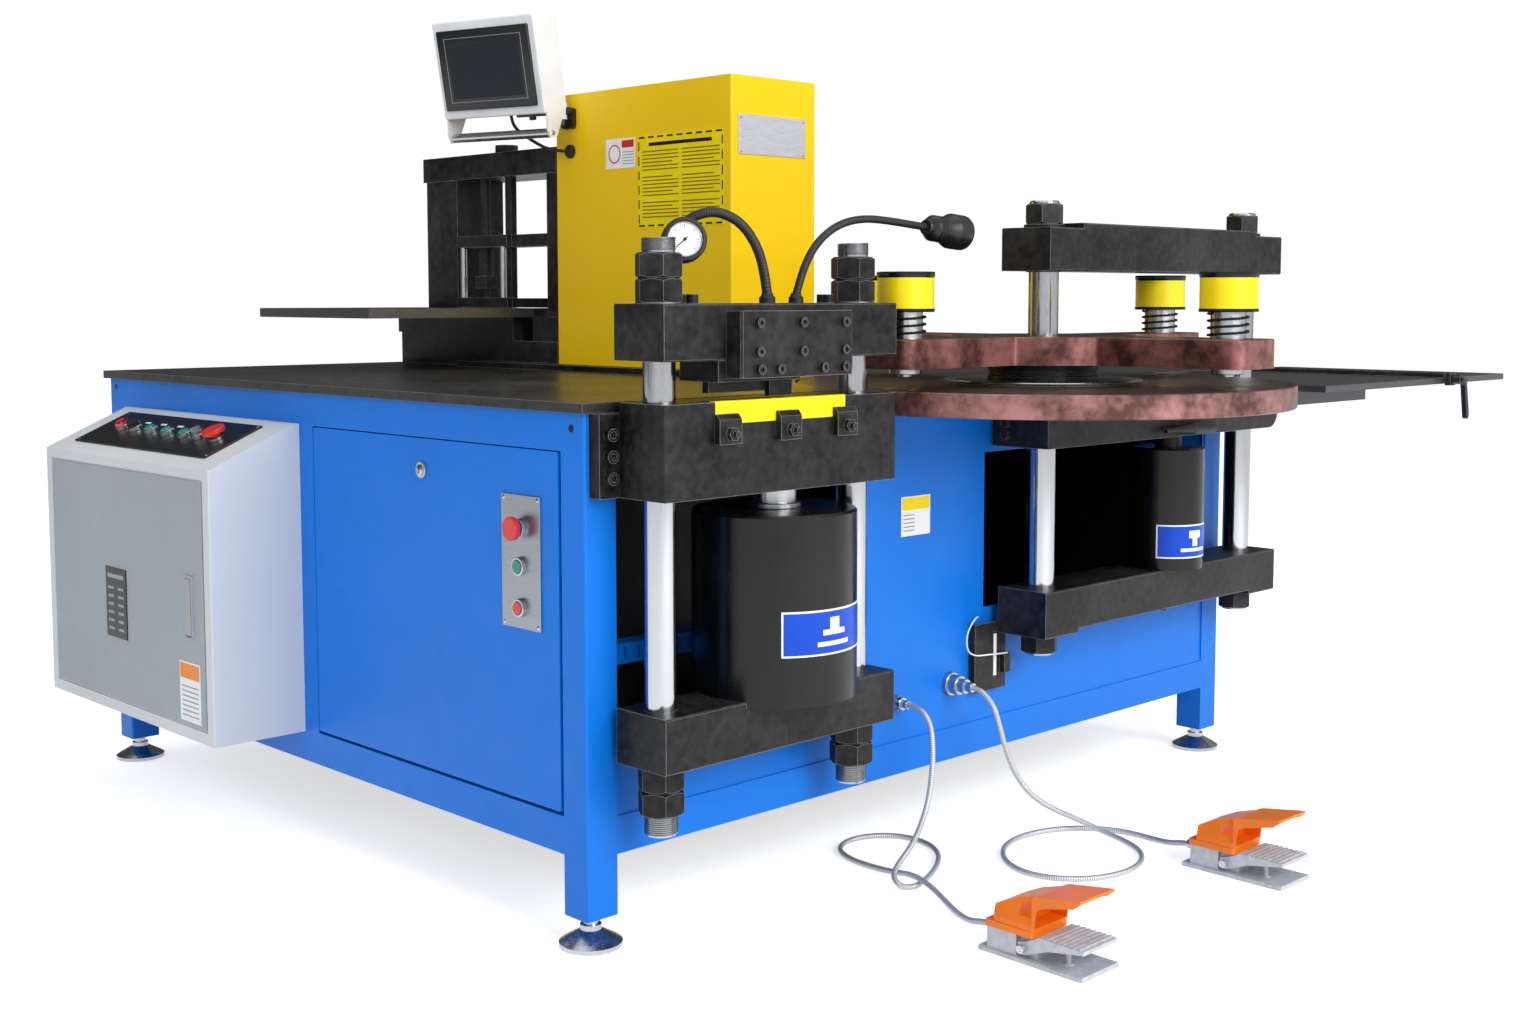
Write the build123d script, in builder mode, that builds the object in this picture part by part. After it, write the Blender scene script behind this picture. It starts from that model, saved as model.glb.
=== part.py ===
from build123d import *
import math
import os

os.makedirs("parts", exist_ok=True)

# Busbar processing machine: cutting press, turret punching press and bending unit
# on one blue frame. Origin on the floor under the middle of the frame, +X along
# the front face, the front faces -Y, +Z up, millimetres.

# Driving dimensions of the frame and table
frame_length = 1794.0
frame_depth = 1640.0
frame_top = 834.0
leg_size = 60.0
leg_bottom = 48.0
rail_height = 60.0
bottom_rail_z = 144.0
sheet = 3.0
table_thickness = 16.0
table_overhang = 10.0
foot_diameter = 100.0
foot_stem_diameter = 24.0

# General clearances
run_gap = 0.3
seat_gap = 0.3
door_gap = 4.0
pocket_drop = 8.0

# Cutting station
cut_mid_inset = 304.0
press_setback = 70.0
cut_beam_length = 512.0
beam_depth = 120.0
cut_beam_height = 86.0
cut_upper_z = 913.0
cut_lower_z = 294.0
cut_column_pitch = 428.0
cut_column_diameter = 50.0
cut_block_z = 705.0
cut_flange_thickness = 25.0
cut_cylinder_shift = 30.0
cut_cylinder_diameter = 268.0
cut_cylinder_height = 301.0
cut_cylinder_recess = 9.0
cut_rod_diameter = 70.0
cut_stroke = 26.0
cut_nut_flats = 65.0
cut_nut_height = 38.0

# Punching station
station_pitch = 741.0
punch_column_inset = 45.0
punch_radius = 393.0
punch_beam_overhang = 61.0
punch_beam_depth = 112.0
punch_beam_height = 80.0
punch_upper_z = 1057.0
punch_lower_z = 380.0
punch_plate_z = 728.0
punch_column_diameter = 56.0
punch_cylinder_diameter = 147.0
punch_cylinder_forward = 25.0
punch_beam_rise = 10.0
punch_pad_drop = 8.0
punch_rod_diameter = 54.0
punch_nut_flats = 65.0
punch_nut_height = 38.0

# Turret
disc_margin = 69.0
disc_thickness = 42.0
disc_top = 850.0
hub_diameter = 206.0
hub_flange_diameter = 388.0
hub_spigot_diameter = 180.0
star_z = 886.0
star_thickness = 51.0
star_hub_diameter = 350.0
star_arm_width = 124.0
star_tip_corner = 20.0
star_root_fillet = 8.0
stem_diameter = 60.0
collar_diameter = 56.0
punch_tip_diameter = 24.0
die_insert_diameter = 70.0
head_diameter = 101.0
head_height = 69.0
head_bottom = 983.0
head_rim = 7.0
spring_outer = 72.0
spring_wire = 4.4

table_top = frame_top + table_thickness
half_length = frame_length / 2
half_depth = frame_depth / 2
front_y = -half_depth
left_x = -half_length
press_y = front_y - press_setback
cut_mid_x = left_x + cut_mid_inset
cut_cylinder_x = cut_mid_x + cut_cylinder_shift
punch_axis_x = cut_mid_x + station_pitch
cabinet_y1 = half_depth - 96.0
cabinet_y0 = cabinet_y1 - 704.0
cover_x0 = punch_axis_x - 323.0
cover_y1 = half_depth - 642.0
disc_bottom = disc_top - disc_thickness
disc_diameter = 2 * (punch_radius + disc_margin)
leg_x = half_length - leg_size / 2
leg_y = half_depth - leg_size / 2
disc_clear_radius = disc_diameter / 2 + 6.0


def block(x0, x1, y0, y1, z0, z1, mode=Mode.ADD):
    """A rectangular block between two corners."""
    with BuildSketch(Plane.XY.offset(z0)) as outline:
        with Locations(((x0 + x1) / 2, (y0 + y1) / 2)):
            Rectangle(x1 - x0, y1 - y0)
    extrude(outline.sketch, amount=z1 - z0, mode=mode)


def post(x, y, z0, z1, diameter, mode=Mode.ADD):
    """An upright round bar or bore."""
    with BuildSketch(Plane.XY.offset(z0)) as outline:
        with Locations((x, y)):
            Circle(diameter / 2)
    extrude(outline.sketch, amount=z1 - z0, mode=mode)


def column_nut(flats, height, bore):
    """A hexagon nut at the origin, its corners turned off at both ends."""
    face_radius = flats * 0.475
    corner_radius = flats / math.sqrt(3.0)
    drop = (corner_radius - face_radius) * math.tan(math.radians(30.0))
    with BuildPart() as nut:
        with BuildSketch():
            RegularPolygon(radius=flats / 2, side_count=6, major_radius=False)
            Circle(bore / 2, mode=Mode.SUBTRACT)
        extrude(amount=height)
        with BuildSketch(Plane.XZ):
            with BuildLine():
                Polyline((0, 0), (face_radius, 0), (corner_radius, drop), (corner_radius, height - drop),
                         (face_radius, height), (0, height), close=True)
            make_face()
        revolve(axis=Axis.Z, mode=Mode.INTERSECT)
    return nut.part


def front_disc(x, z, y, length, diameter, mode=Mode.ADD):
    """A round piece that stands out from a front face towards -Y."""
    with BuildSketch(Plane(origin=(x, y, z), x_dir=(1, 0, 0), z_dir=(0, -1, 0))) as outline:
        Circle(diameter / 2)
    extrude(outline.sketch, amount=length, mode=mode)


def front_hexagon(x, z, y, length, flats):
    """A hexagon piece that stands out towards -Y."""
    with BuildSketch(Plane(origin=(x, y, z), x_dir=(1, 0, 0), z_dir=(0, -1, 0))) as outline:
        RegularPolygon(radius=flats / 2, side_count=6, major_radius=False)
    extrude(outline.sketch, amount=length)


def finish(part, name):
    """Label a finished piece and write it out."""
    part.label = name
    export_step(part, "parts/" + name + ".step")
    print(name, len(part.solids()), "solids", round(part.volume / 1000.0), "cm3")


bearer_y = front_y + 440.0
# Frame: four square legs, top and bottom rails, and the recess for the turret
with BuildPart() as frame:
    for sx in (-1, 1):
        for sy in (-1, 1):
            block(sx * leg_x - leg_size / 2, sx * leg_x + leg_size / 2,
                  sy * leg_y - leg_size / 2, sy * leg_y + leg_size / 2,
                  leg_bottom, frame_top)
    for z0 in (bottom_rail_z, frame_top - rail_height):
        for sy in (-1, 1):
            block(-leg_x, leg_x, sy * leg_y - leg_size / 2, sy * leg_y + leg_size / 2,
                  z0, z0 + rail_height)
        for sx in (-1, 1):
            block(sx * leg_x - leg_size / 2, sx * leg_x + leg_size / 2, -leg_y, leg_y,
                  z0, z0 + rail_height)
    # Two bearers under the bending unit and one beside the turret
    for bx in (cover_x0 - 25.0, cover_x0 + 235.0):
        block(bx - leg_size / 2, bx + leg_size / 2, bearer_y, leg_y,
              frame_top - rail_height, frame_top)
    block(-leg_x, leg_x, bearer_y - leg_size / 2, bearer_y + leg_size / 2,
          frame_top - rail_height, frame_top)
    # Round pocket in which the turret disc turns
    post(punch_axis_x, press_y, disc_bottom - pocket_drop, frame_top + 1.0,
         2 * disc_clear_radius, Mode.SUBTRACT)
    fillet(frame.edges().filter_by(Axis.Z).group_by(Axis.X)[0], 5.0)
    # Hole for the hinge pin of the service door
    with BuildSketch(Plane(origin=(left_x + 6.0, -leg_y + leg_size / 2 + 1.0,
                                   bottom_rail_z + rail_height + 10.0), z_dir=(0, -1, 0))):
        Circle(2.0 + run_gap)
    extrude(amount=12.0, mode=Mode.SUBTRACT)
finish(frame.part, "frame")

panel_top = frame_top - rail_height
panel_bottom = bottom_rail_z + rail_height
panel_face = front_y + 3.0
opening_cut_x0 = left_x + leg_size + 4.0
opening_cut_x1 = cut_mid_x + cut_beam_length / 2 - 2.0
opening_cut_z0 = cut_lower_z + 36.0
opening_cut_z1 = cut_block_z - 4.0
opening_punch_x0 = punch_axis_x - 80.0
opening_punch_x1 = half_length - leg_size - 8.0
opening_punch_z0 = punch_lower_z + 40.0
opening_punch_z1 = punch_plate_z - 12.0
side_door_y0 = front_y + leg_size + 3.0
side_door_y1 = cabinet_y0 - 53.0
divider_y = front_y + 180.0
duct_depth = 32.0

# Sheet panels of the frame, with the two openings behind the presses
with BuildPart() as panels:
    block(-leg_x + leg_size / 2, leg_x - leg_size / 2, panel_face, panel_face + sheet,
          panel_bottom, panel_top)
    block(opening_cut_x0, opening_cut_x1, panel_face - 1.0, panel_face + sheet + 1.0,
          opening_cut_z0, opening_cut_z1, Mode.SUBTRACT)
    block(opening_punch_x0, opening_punch_x1, panel_face - 1.0, panel_face + sheet + 1.0,
          opening_punch_z0, opening_punch_z1, Mode.SUBTRACT)
    # Rear and right-hand panels
    block(-leg_x + leg_size / 2, leg_x - leg_size / 2, half_depth - 3.0 - sheet,
          half_depth - 3.0, panel_bottom, panel_top)
    block(half_length - 3.0 - sheet, half_length - 3.0, -leg_y + leg_size / 2,
          leg_y - leg_size / 2, panel_bottom, panel_top)
    # Left-hand panel behind the electrical cabinet
    block(left_x, left_x + sheet, side_door_y1 + door_gap, leg_y - leg_size / 2,
          panel_bottom, panel_top)
    # Block with the hole for the other hinge pin
    block(left_x, left_x + 12.0, side_door_y1 + door_gap, side_door_y1 + door_gap + 10.0,
          panel_bottom, panel_bottom + 18.0)
    with BuildSketch(Plane(origin=(left_x + 6.0, side_door_y1, panel_bottom + 10.0),
                           z_dir=(0, 1, 0))):
        Circle(2.0 + run_gap)
    extrude(amount=12.0, mode=Mode.SUBTRACT)
    # Floor tray
    block(-leg_x + leg_size / 2, leg_x - leg_size / 2, -leg_y + leg_size / 2,
          leg_y - leg_size / 2, bottom_rail_z + 4.0, bottom_rail_z + 4.0 + sheet)
    # Dividing sheet behind the cutting cylinder, with its wire duct
    block(left_x + leg_size, opening_cut_x1, divider_y, divider_y + sheet, panel_bottom, panel_top)
    block(left_x + leg_size, opening_cut_x1, divider_y - duct_depth, divider_y, 402.0, 436.0)
    for i in range(16):
        slot_x = left_x + leg_size + 14.0 + i * 30.0
        block(slot_x, slot_x + 10.0, divider_y - duct_depth - 1.0, divider_y - duct_depth + 6.0,
              408.0, 430.0, Mode.SUBTRACT)
finish(panels.part, "panels")

# Table plate with the round notch for the turret
with BuildPart() as table_plate:
    block(left_x - table_overhang, half_length + table_overhang,
          -half_depth - table_overhang, half_depth + table_overhang, frame_top, table_top)
    post(punch_axis_x, press_y, frame_top - 1.0, table_top + 1.0,
         2 * disc_clear_radius, Mode.SUBTRACT)
finish(table_plate.part, "table_plate")

# Levelling feet: bell pads on threaded stems with a lock nut
with BuildPart() as foot_body:
    with BuildSketch(Plane.XZ) as foot_profile:
        with BuildLine():
            Polyline((0, 0), (foot_diameter / 2, 0), (foot_diameter / 2, 7),
                     (foot_diameter / 2 - 8, 12), (24, 22), (17, 26), (17, 34),
                     (foot_stem_diameter / 2, 34), (foot_stem_diameter / 2, leg_bottom),
                     (0, leg_bottom), close=True)
        make_face()
    revolve(axis=Axis.Z)
    foot_solid = foot_body.part
with BuildPart() as leveling_feet:
    with Locations(*[(sx * leg_x, sy * leg_y, 0) for sx in (-1, 1) for sy in (-1, 1)]):
        add(foot_solid)
finish(leveling_feet.part, "leveling_feet")

# Service door on the left end, hung on its lower edge, with its cam lock, the
# stainless button plate and the three button collars
service_door_thickness = 5.0
door_face_x = left_x - 1.0
door_sill = panel_bottom + door_gap + 2.0
lock_y = (side_door_y0 + side_door_y1) / 2 + 9.0
lock_z = 719.0
button_y = side_door_y0 + 93.0
button_plate_plane = Plane(origin=(door_face_x, button_y, 593.0), x_dir=(0, -1, 0),
                           z_dir=(-1, 0, 0))
button_plate_thickness = 2.5
collar_height = 8.0
collar_radius = 14.5
collar_floor = 1.0
cap_radius = 10.7
cap_height = 6.0
press_travel = 3.0
stop_travel = 5.0
hinge_x = left_x + 6.0
hinge_z = door_sill + 4.0
hinge_pin = 4.0
side_controls = [(647.0, "side_stop"), (586.0, "side_green"), (520.0, "side_red")]
with BuildPart() as service_door:
    block(door_face_x, door_face_x + service_door_thickness, side_door_y0, side_door_y1,
          door_sill, panel_top - 2.0)
    fillet(service_door.edges().filter_by(Axis.X), 4.0)
    with BuildSketch(Plane(origin=(door_face_x, lock_y, lock_z), z_dir=(-1, 0, 0))):
        Circle(14.0)
    extrude(amount=4.0)
    with BuildSketch(Plane(origin=(door_face_x - 4.0, lock_y, lock_z), z_dir=(-1, 0, 0))):
        Circle(9.0)
    extrude(amount=2.0)
    with BuildSketch(button_plate_plane):
        Rectangle(100.0, 212.0)
    extrude(amount=button_plate_thickness)
    for bz, label in side_controls:
        with BuildSketch(Plane(origin=(door_face_x - button_plate_thickness, button_y, bz),
                               z_dir=(-1, 0, 0))):
            Circle(collar_radius)
        extrude(amount=collar_height)
        with BuildSketch(Plane(origin=(door_face_x - button_plate_thickness - collar_height,
                                       button_y, bz), z_dir=(-1, 0, 0))):
            Circle(cap_radius + run_gap)
        extrude(amount=-(collar_height - collar_floor), mode=Mode.SUBTRACT)
    # Lugs and pins of the hinge along the lower edge
    for y0, y1, pin_y0, pin_y1 in ((side_door_y0, side_door_y0 + 20.0, side_door_y0 - 10.0, side_door_y0),
                                   (side_door_y1 - 20.0, side_door_y1, side_door_y1, side_door_y1 + 10.0)):
        block(hinge_x - 3.0, hinge_x + 3.0, y0, y1, door_sill, door_sill + 8.0)
        with BuildSketch(Plane(origin=(hinge_x, pin_y0, hinge_z), z_dir=(0, 1, 0))):
            Circle(hinge_pin / 2)
        extrude(amount=pin_y1 - pin_y0)
finish(service_door.part, "service_door")

cut_x0 = cut_mid_x - cut_beam_length / 2
cut_x1 = cut_mid_x + cut_beam_length / 2
cut_front = press_y - beam_depth / 2
cut_back = press_y + beam_depth / 2 - 5.0
cut_columns_x = [cut_mid_x - cut_column_pitch / 2, cut_mid_x + cut_column_pitch / 2]
cut_cylinder_z = cut_lower_z + cut_beam_height - cut_cylinder_recess
cut_cylinder_top = cut_cylinder_z + cut_cylinder_height
blade_x0 = cut_mid_x - 146.0
blade_x1 = cut_mid_x + 30.0
blade_lift = 12.0
blade_y = press_y - 22.0
blade_thickness = 14.0
holder_z = table_top + cut_stroke + 4.0
strip_x0 = cut_mid_x - 154.0
strip_x1 = cut_mid_x + 132.0
strip_height = 33.0
strip_depth = 14.0
slot_front = blade_y - blade_thickness / 2 - 12.0

# Fixed block of the cutting station on its flange, with the blade slot and the piston rod
with BuildPart() as cut_block:
    block(cut_x0, cut_x1, cut_front, front_y - cut_flange_thickness, cut_block_z, table_top)
    fillet(cut_block.edges().filter_by(Axis.Z), 3.0)
    block(left_x + 10.0, cut_x1, front_y - cut_flange_thickness, front_y,
          cut_block_z, frame_top)
    for cx in cut_columns_x:
        post(cx, press_y, cut_block_z - 1.0, table_top + 1.0,
             cut_column_diameter + 2 * run_gap, Mode.SUBTRACT)
    block(blade_x0 - 4.0, blade_x1 + 4.0, slot_front,
          blade_y + blade_thickness / 2 + 12.0, cut_block_z - 1.0, table_top + 1.0,
          Mode.SUBTRACT)
    block(strip_x0 - run_gap, strip_x1 + run_gap, cut_front - 1.0,
          cut_front + strip_depth + run_gap, table_top - strip_height - run_gap,
          table_top + 1.0, Mode.SUBTRACT)
    post(cut_cylinder_x, press_y, cut_cylinder_top - 32.0, cut_block_z + 8.0,
         cut_rod_diameter)
finish(cut_block.part, "cut_block")

# Yellow strip let into the front top edge of the fixed block
with BuildPart() as die_strip:
    block(strip_x0, strip_x1, cut_front, cut_front + strip_depth,
          table_top - strip_height, table_top + 1.5)
    chamfer(die_strip.edges().filter_by(Axis.X).sort_by(Axis.Z)[-2:], 1.0)
finish(die_strip.part, "die_strip")

clamp_x = [cut_mid_x - 133.0, cut_mid_x - 3.0, cut_mid_x + 126.0]
clamp_width = 46.0
clamp_depth = 12.0
flange_screw_x = left_x + 28.0
flange_screws_z = [802.0, 769.0, 736.0]
# L clamps that hold the strip, their nuts, and the flange screws
with BuildPart() as block_clamps:
    for cx in clamp_x:
        with BuildSketch(Plane.YZ.offset(cx - clamp_width / 2)):
            with BuildLine():
                Polyline((cut_front, table_top - 64), (cut_front - clamp_depth, table_top - 64),
                         (cut_front - clamp_depth, table_top - 26), (cut_front - 5, table_top - 18),
                         (cut_front, table_top - 18), close=True)
            make_face()
        extrude(amount=clamp_width)
        front_hexagon(cx, table_top - 48.0, cut_front - clamp_depth, 9.0, 19.0)
        front_disc(cx, table_top - 48.0, cut_front - clamp_depth - 9.0, 8.0, 10.0)
    for sz in flange_screws_z:
        front_disc(flange_screw_x, sz, front_y - cut_flange_thickness, 12.0, 20.0)
        with BuildSketch(Plane(origin=(flange_screw_x, front_y - cut_flange_thickness - 6.0, sz),
                               x_dir=(1, 0, 0), z_dir=(0, -1, 0))):
            RegularPolygon(radius=5.0, side_count=6, major_radius=False)
        extrude(amount=8.0, mode=Mode.SUBTRACT)
finish(block_clamps.part, "block_clamps")

# Upper beam of the cutting yoke
with BuildPart() as cut_upper_beam:
    block(cut_x0, cut_x1, cut_front, cut_back, cut_upper_z, cut_upper_z + cut_beam_height)
    for cx in cut_columns_x:
        post(cx, press_y, cut_upper_z - 1.0, cut_upper_z + cut_beam_height + 1.0,
             cut_column_diameter, Mode.SUBTRACT)
    chamfer(cut_upper_beam.edges().filter_by(Axis.X), 2.0)
finish(cut_upper_beam.part, "cut_upper_beam")

# Lower beam with the round seat of the cylinder
with BuildPart() as cut_lower_beam:
    block(cut_x0, cut_x1, cut_front, cut_back, cut_lower_z, cut_lower_z + cut_beam_height)
    for cx in cut_columns_x:
        post(cx, press_y, cut_lower_z - 1.0, cut_lower_z + cut_beam_height + 1.0,
             cut_column_diameter, Mode.SUBTRACT)
    chamfer(cut_lower_beam.edges().filter_by(Axis.X), 2.0)
    post(cut_cylinder_x, press_y, cut_cylinder_z, cut_lower_z + cut_beam_height + 1.0,
         cut_cylinder_diameter, Mode.SUBTRACT)
finish(cut_lower_beam.part, "cut_lower_beam")

cut_upper_top = cut_upper_z + cut_beam_height
cut_stud_top = cut_upper_top + 2 * cut_nut_height + 22.0
cut_stud_bottom = cut_lower_z - 2 * cut_nut_height - 33.0
# Polished columns with threaded ends
with BuildPart() as cut_columns:
    for cx in cut_columns_x:
        post(cx, press_y, cut_stud_bottom, cut_stud_top, cut_column_diameter)
    chamfer(cut_columns.edges().filter_by(GeomType.CIRCLE), 2.5)
finish(cut_columns.part, "cut_columns")

plate_x0 = cut_mid_x - 132.0
plate_x1 = cut_mid_x + 113.0
plate_z0 = 886.0
plate_z1 = 988.0
plate_thickness = 35.0
plate_screws = [(-99, 970), (-6, 970), (89, 970), (-99, 926), (-6, 926), (89, 926),
                (-97, 899), (-55, 899), (41, 899), (89, 899)]
beam_screws = [(-163, -19), (-145, 24), (138, -15), (169, 28)]
cut_nut = column_nut(cut_nut_flats, cut_nut_height, cut_column_diameter)
nut_step = cut_nut_height + seat_gap
# Double nuts at both ends of the columns and the socket screws of the yoke
with BuildPart() as cut_fasteners:
    for cx in cut_columns_x:
        for i in range(2):
            with Locations((cx, press_y, cut_upper_top + i * nut_step),
                           (cx, press_y, cut_lower_z - cut_nut_height - i * nut_step)):
                add(cut_nut)
    for dx, sz in plate_screws:
        sx = cut_mid_x + dx
        front_disc(sx, sz, cut_front - plate_thickness, 9.0, 15.0)
        with BuildSketch(Plane(origin=(sx, cut_front - plate_thickness - 4.0, sz),
                               x_dir=(1, 0, 0), z_dir=(0, -1, 0))):
            RegularPolygon(radius=4.0, side_count=6, major_radius=False)
        extrude(amount=6.0, mode=Mode.SUBTRACT)
    for dx, dy in beam_screws:
        post(cut_mid_x + dx, press_y + dy, cut_upper_top, cut_upper_top + 14.0, 18.0)
finish(cut_fasteners.part, "cut_fasteners")

# Cylinder of the cutting press, with the bore that its rod runs in
with BuildPart() as cut_cylinder:
    post(cut_cylinder_x, press_y, cut_cylinder_z, cut_cylinder_top, cut_cylinder_diameter)
    chamfer(cut_cylinder.edges().filter_by(GeomType.CIRCLE).sort_by(Axis.Z)[-1], 4.0)
    post(cut_cylinder_x, press_y, cut_cylinder_top - 62.0, cut_cylinder_top + 1.0,
         cut_rod_diameter + 2 * run_gap, Mode.SUBTRACT)
finish(cut_cylinder.part, "cut_cylinder")

# Blade holder: front plate, block under the beam, and the blade
with BuildPart() as cut_blade_holder:
    block(plate_x0, plate_x1, cut_front - plate_thickness, cut_front, plate_z0, plate_z1)
    chamfer(cut_blade_holder.edges().filter_by(Axis.Z).group_by(Axis.Y)[0], 3.0)
    block(blade_x0, blade_x1, cut_front + 2.0, press_y + 30.0, holder_z, cut_upper_z)
    block(blade_x0 + 6.0, blade_x1 - 6.0, blade_y - blade_thickness / 2,
          blade_y + blade_thickness / 2, table_top + blade_lift, holder_z)
    block(blade_x1 - 50.0, blade_x1, slot_front + 1.0, blade_y - blade_thickness / 2,
          table_top + 4.0, holder_z)
finish(cut_blade_holder.part, "cut_blade_holder")

# Goosenecks: gauge hose and lamp arm, each with its foot on the upper beam
hose_diameter = 16.0
lamp_arm_diameter = 13.0
gauge_diameter = 70.0
gauge_depth = 34.0
gauge_facing = Vector(-0.55, -0.82, 0.12).normalized()
gauge_centre = Vector(cut_mid_x - 118.6, press_y + 50.0, cut_upper_top + 97.4)
gauge_plane = Plane(origin=gauge_centre, z_dir=gauge_facing)
gauge_back = gauge_centre - gauge_facing * (gauge_depth / 2)
gauge_lead = gauge_back - gauge_facing * 20.0
hose_steps = [(14, 0, 12), (13, 4, 46), (4, 12, 90), (-18, 26, 128), (-52, 46, 146), (-80, 70, 138),
              (-92, 88, 118)]
arm_steps = [(79, 0, 12), (90, 0, 43), (113, 0, 83), (147, 0, 113), (191, 0, 133), (243, 0, 141),
             (297, 0, 139.2), (349, 0, 135)]
hose_route = [(cut_mid_x + dx, press_y + dy, cut_upper_top + dz) for dx, dy, dz in hose_steps]
hose_route += [(gauge_lead.X, gauge_lead.Y, gauge_lead.Z), (gauge_back.X, gauge_back.Y, gauge_back.Z)]
arm_route = [(cut_mid_x + dx, press_y + dy, cut_upper_top + dz) for dx, dy, dz in arm_steps]


def corner_radii(points):
    """The largest even radius at each corner of a route."""
    radii = []
    for a, b, c in zip(points[:-2], points[1:-1], points[2:]):
        before = Vector(*b) - Vector(*a)
        after = Vector(*c) - Vector(*b)
        half_turn = math.radians(before.get_angle(after)) / 2
        radii.append(0.45 * min(before.length, after.length) / math.tan(half_turn))
    return radii


def tube_along(points, diameter, name):
    """A round tube swept along straight runs joined by tangent arcs."""
    radii = corner_radii(points)
    print(name, "radii", [round(r) for r in radii])
    with BuildLine() as route:
        FilletPolyline(*points, radius=radii)
    start = Vector(*points[0])
    along = Vector(*points[1]) - start
    with BuildSketch(Plane(origin=start, z_dir=along)) as section:
        Circle(diameter / 2)
    sweep(section.sketch, path=route.line)
    length = sum(edge.length for edge in route.edges())
    print(name, "length", round(length), "section times length",
          round(math.pi * diameter ** 2 / 4 * length / 1000, 1), "cm3")


with BuildPart() as goosenecks:
    tube_along(hose_route, hose_diameter, "gauge hose")
    post(hose_route[0][0], hose_route[0][1], cut_upper_top, hose_route[0][2], 26.0)
    tube_along(arm_route, lamp_arm_diameter, "lamp arm")
    post(arm_route[0][0], arm_route[0][1], cut_upper_top, arm_route[0][2], 24.0)
# Pressure gauge in its rubber boot, with the dial recessed behind the rim
with BuildPart() as pressure_gauge:
    with BuildSketch(gauge_plane.offset(-gauge_depth / 2)):
        Circle(gauge_diameter / 2)
    extrude(amount=gauge_depth)
    fillet(pressure_gauge.edges(), 4.0)
    with BuildSketch(gauge_plane.offset(gauge_depth / 2 - 5.0)):
        Circle(gauge_diameter / 2 - 9.0)
    extrude(amount=6.0, mode=Mode.SUBTRACT)

lamp_start = Vector(*arm_route[-1])
lamp_along = Vector(172.0, 0.0, -14.0)
lamp_length = 150.0
lamp_plane = Plane(origin=lamp_start, x_dir=(0, 1, 0), z_dir=lamp_along)
# Work lamp: neck, body and stepped rim, hollow at the front
with BuildPart() as work_lamp:
    for start, end, diameter in ((0.3, 18.0, 24.0), (18.0, 62.0, 36.0), (62.0, 96.0, 50.0),
                                 (96.0, lamp_length, 62.0)):
        with BuildSketch(lamp_plane.offset(start)):
            Circle(diameter / 2)
        extrude(amount=end - start)
    with BuildSketch(lamp_plane.offset(lamp_length - 22.0)):
        Circle(27.0)
    extrude(amount=23.0, mode=Mode.SUBTRACT)
gauge_and_lamp = Compound(children=[goosenecks.part, pressure_gauge.part, work_lamp.part])
finish(gauge_and_lamp, "gauge_and_lamp")

punch_columns_x = [punch_axis_x, half_length - punch_column_inset]
punch_x0 = punch_columns_x[0] - punch_beam_overhang
punch_x1 = punch_columns_x[1] + punch_beam_overhang
punch_front = press_y - 60.0
punch_back = punch_front + punch_beam_depth
punch_press_x = punch_axis_x + punch_radius
punch_cylinder_z = punch_lower_z + punch_beam_height
punch_cylinder_top = punch_plate_z - 22.0
punch_plate_top = disc_bottom - 14.0
punch_cylinder_y = press_y - punch_cylinder_forward
knob_y = punch_front - 16.0
knob_z = punch_plate_z + 16.0
knob_x = punch_press_x + 7.0

# Fixed plate under the turret with its bearing ring, piston rod and index knob
with BuildPart() as punch_plate:
    block(punch_x0, punch_x1, punch_front, punch_back, punch_plate_z, punch_plate_top)
    fillet(punch_plate.edges().filter_by(Axis.Y).group_by(Axis.X)[-1].sort_by(Axis.Z)[0], 34.0)
    block(punch_x0, punch_x1, punch_back, front_y, punch_plate_z, punch_plate_top)
    post(punch_axis_x, press_y, punch_plate_top, disc_bottom - 6.0 - run_gap, 260.0)
    block(punch_axis_x - 140.0, punch_axis_x + 140.0, front_y - seat_gap, press_y + 140.0,
          punch_plate_top, disc_bottom, Mode.SUBTRACT)
    for cx in punch_columns_x:
        post(cx, press_y, punch_plate_z - 1.0, disc_top, punch_column_diameter + 2 * run_gap,
             Mode.SUBTRACT)
    post(punch_press_x, punch_cylinder_y, punch_cylinder_top - 34.0, punch_plate_z + 8.0,
         punch_rod_diameter)
    # Index knob: cone, barrel and the lug that carries it
    with BuildSketch(Plane(origin=(knob_x - 95.0, knob_y, knob_z), z_dir=(1, 0, 0))):
        Circle(6.0)
    with BuildSketch(Plane(origin=(knob_x, knob_y, knob_z), z_dir=(1, 0, 0))):
        Circle(11.0)
    loft()
    with BuildSketch(Plane(origin=(knob_x, knob_y, knob_z), z_dir=(1, 0, 0))):
        Circle(12.5)
    extrude(amount=75.0)
    block(knob_x - 34.0, knob_x + 4.0, knob_y, punch_front, knob_z - 9.0, knob_z + 9.0)
    for bz in (punch_plate_z + 22.0, punch_plate_z + 44.0):
        with BuildSketch(Plane(origin=(punch_x0, punch_back - 14.0, bz), z_dir=(-1, 0, 0))):
            RegularPolygon(radius=8.0, side_count=6, major_radius=False)
        extrude(amount=6.0)
finish(punch_plate.part, "punch_plate")

punch_pad_length = 104.0
punch_nut_z = punch_lower_z - punch_pad_drop
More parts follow.
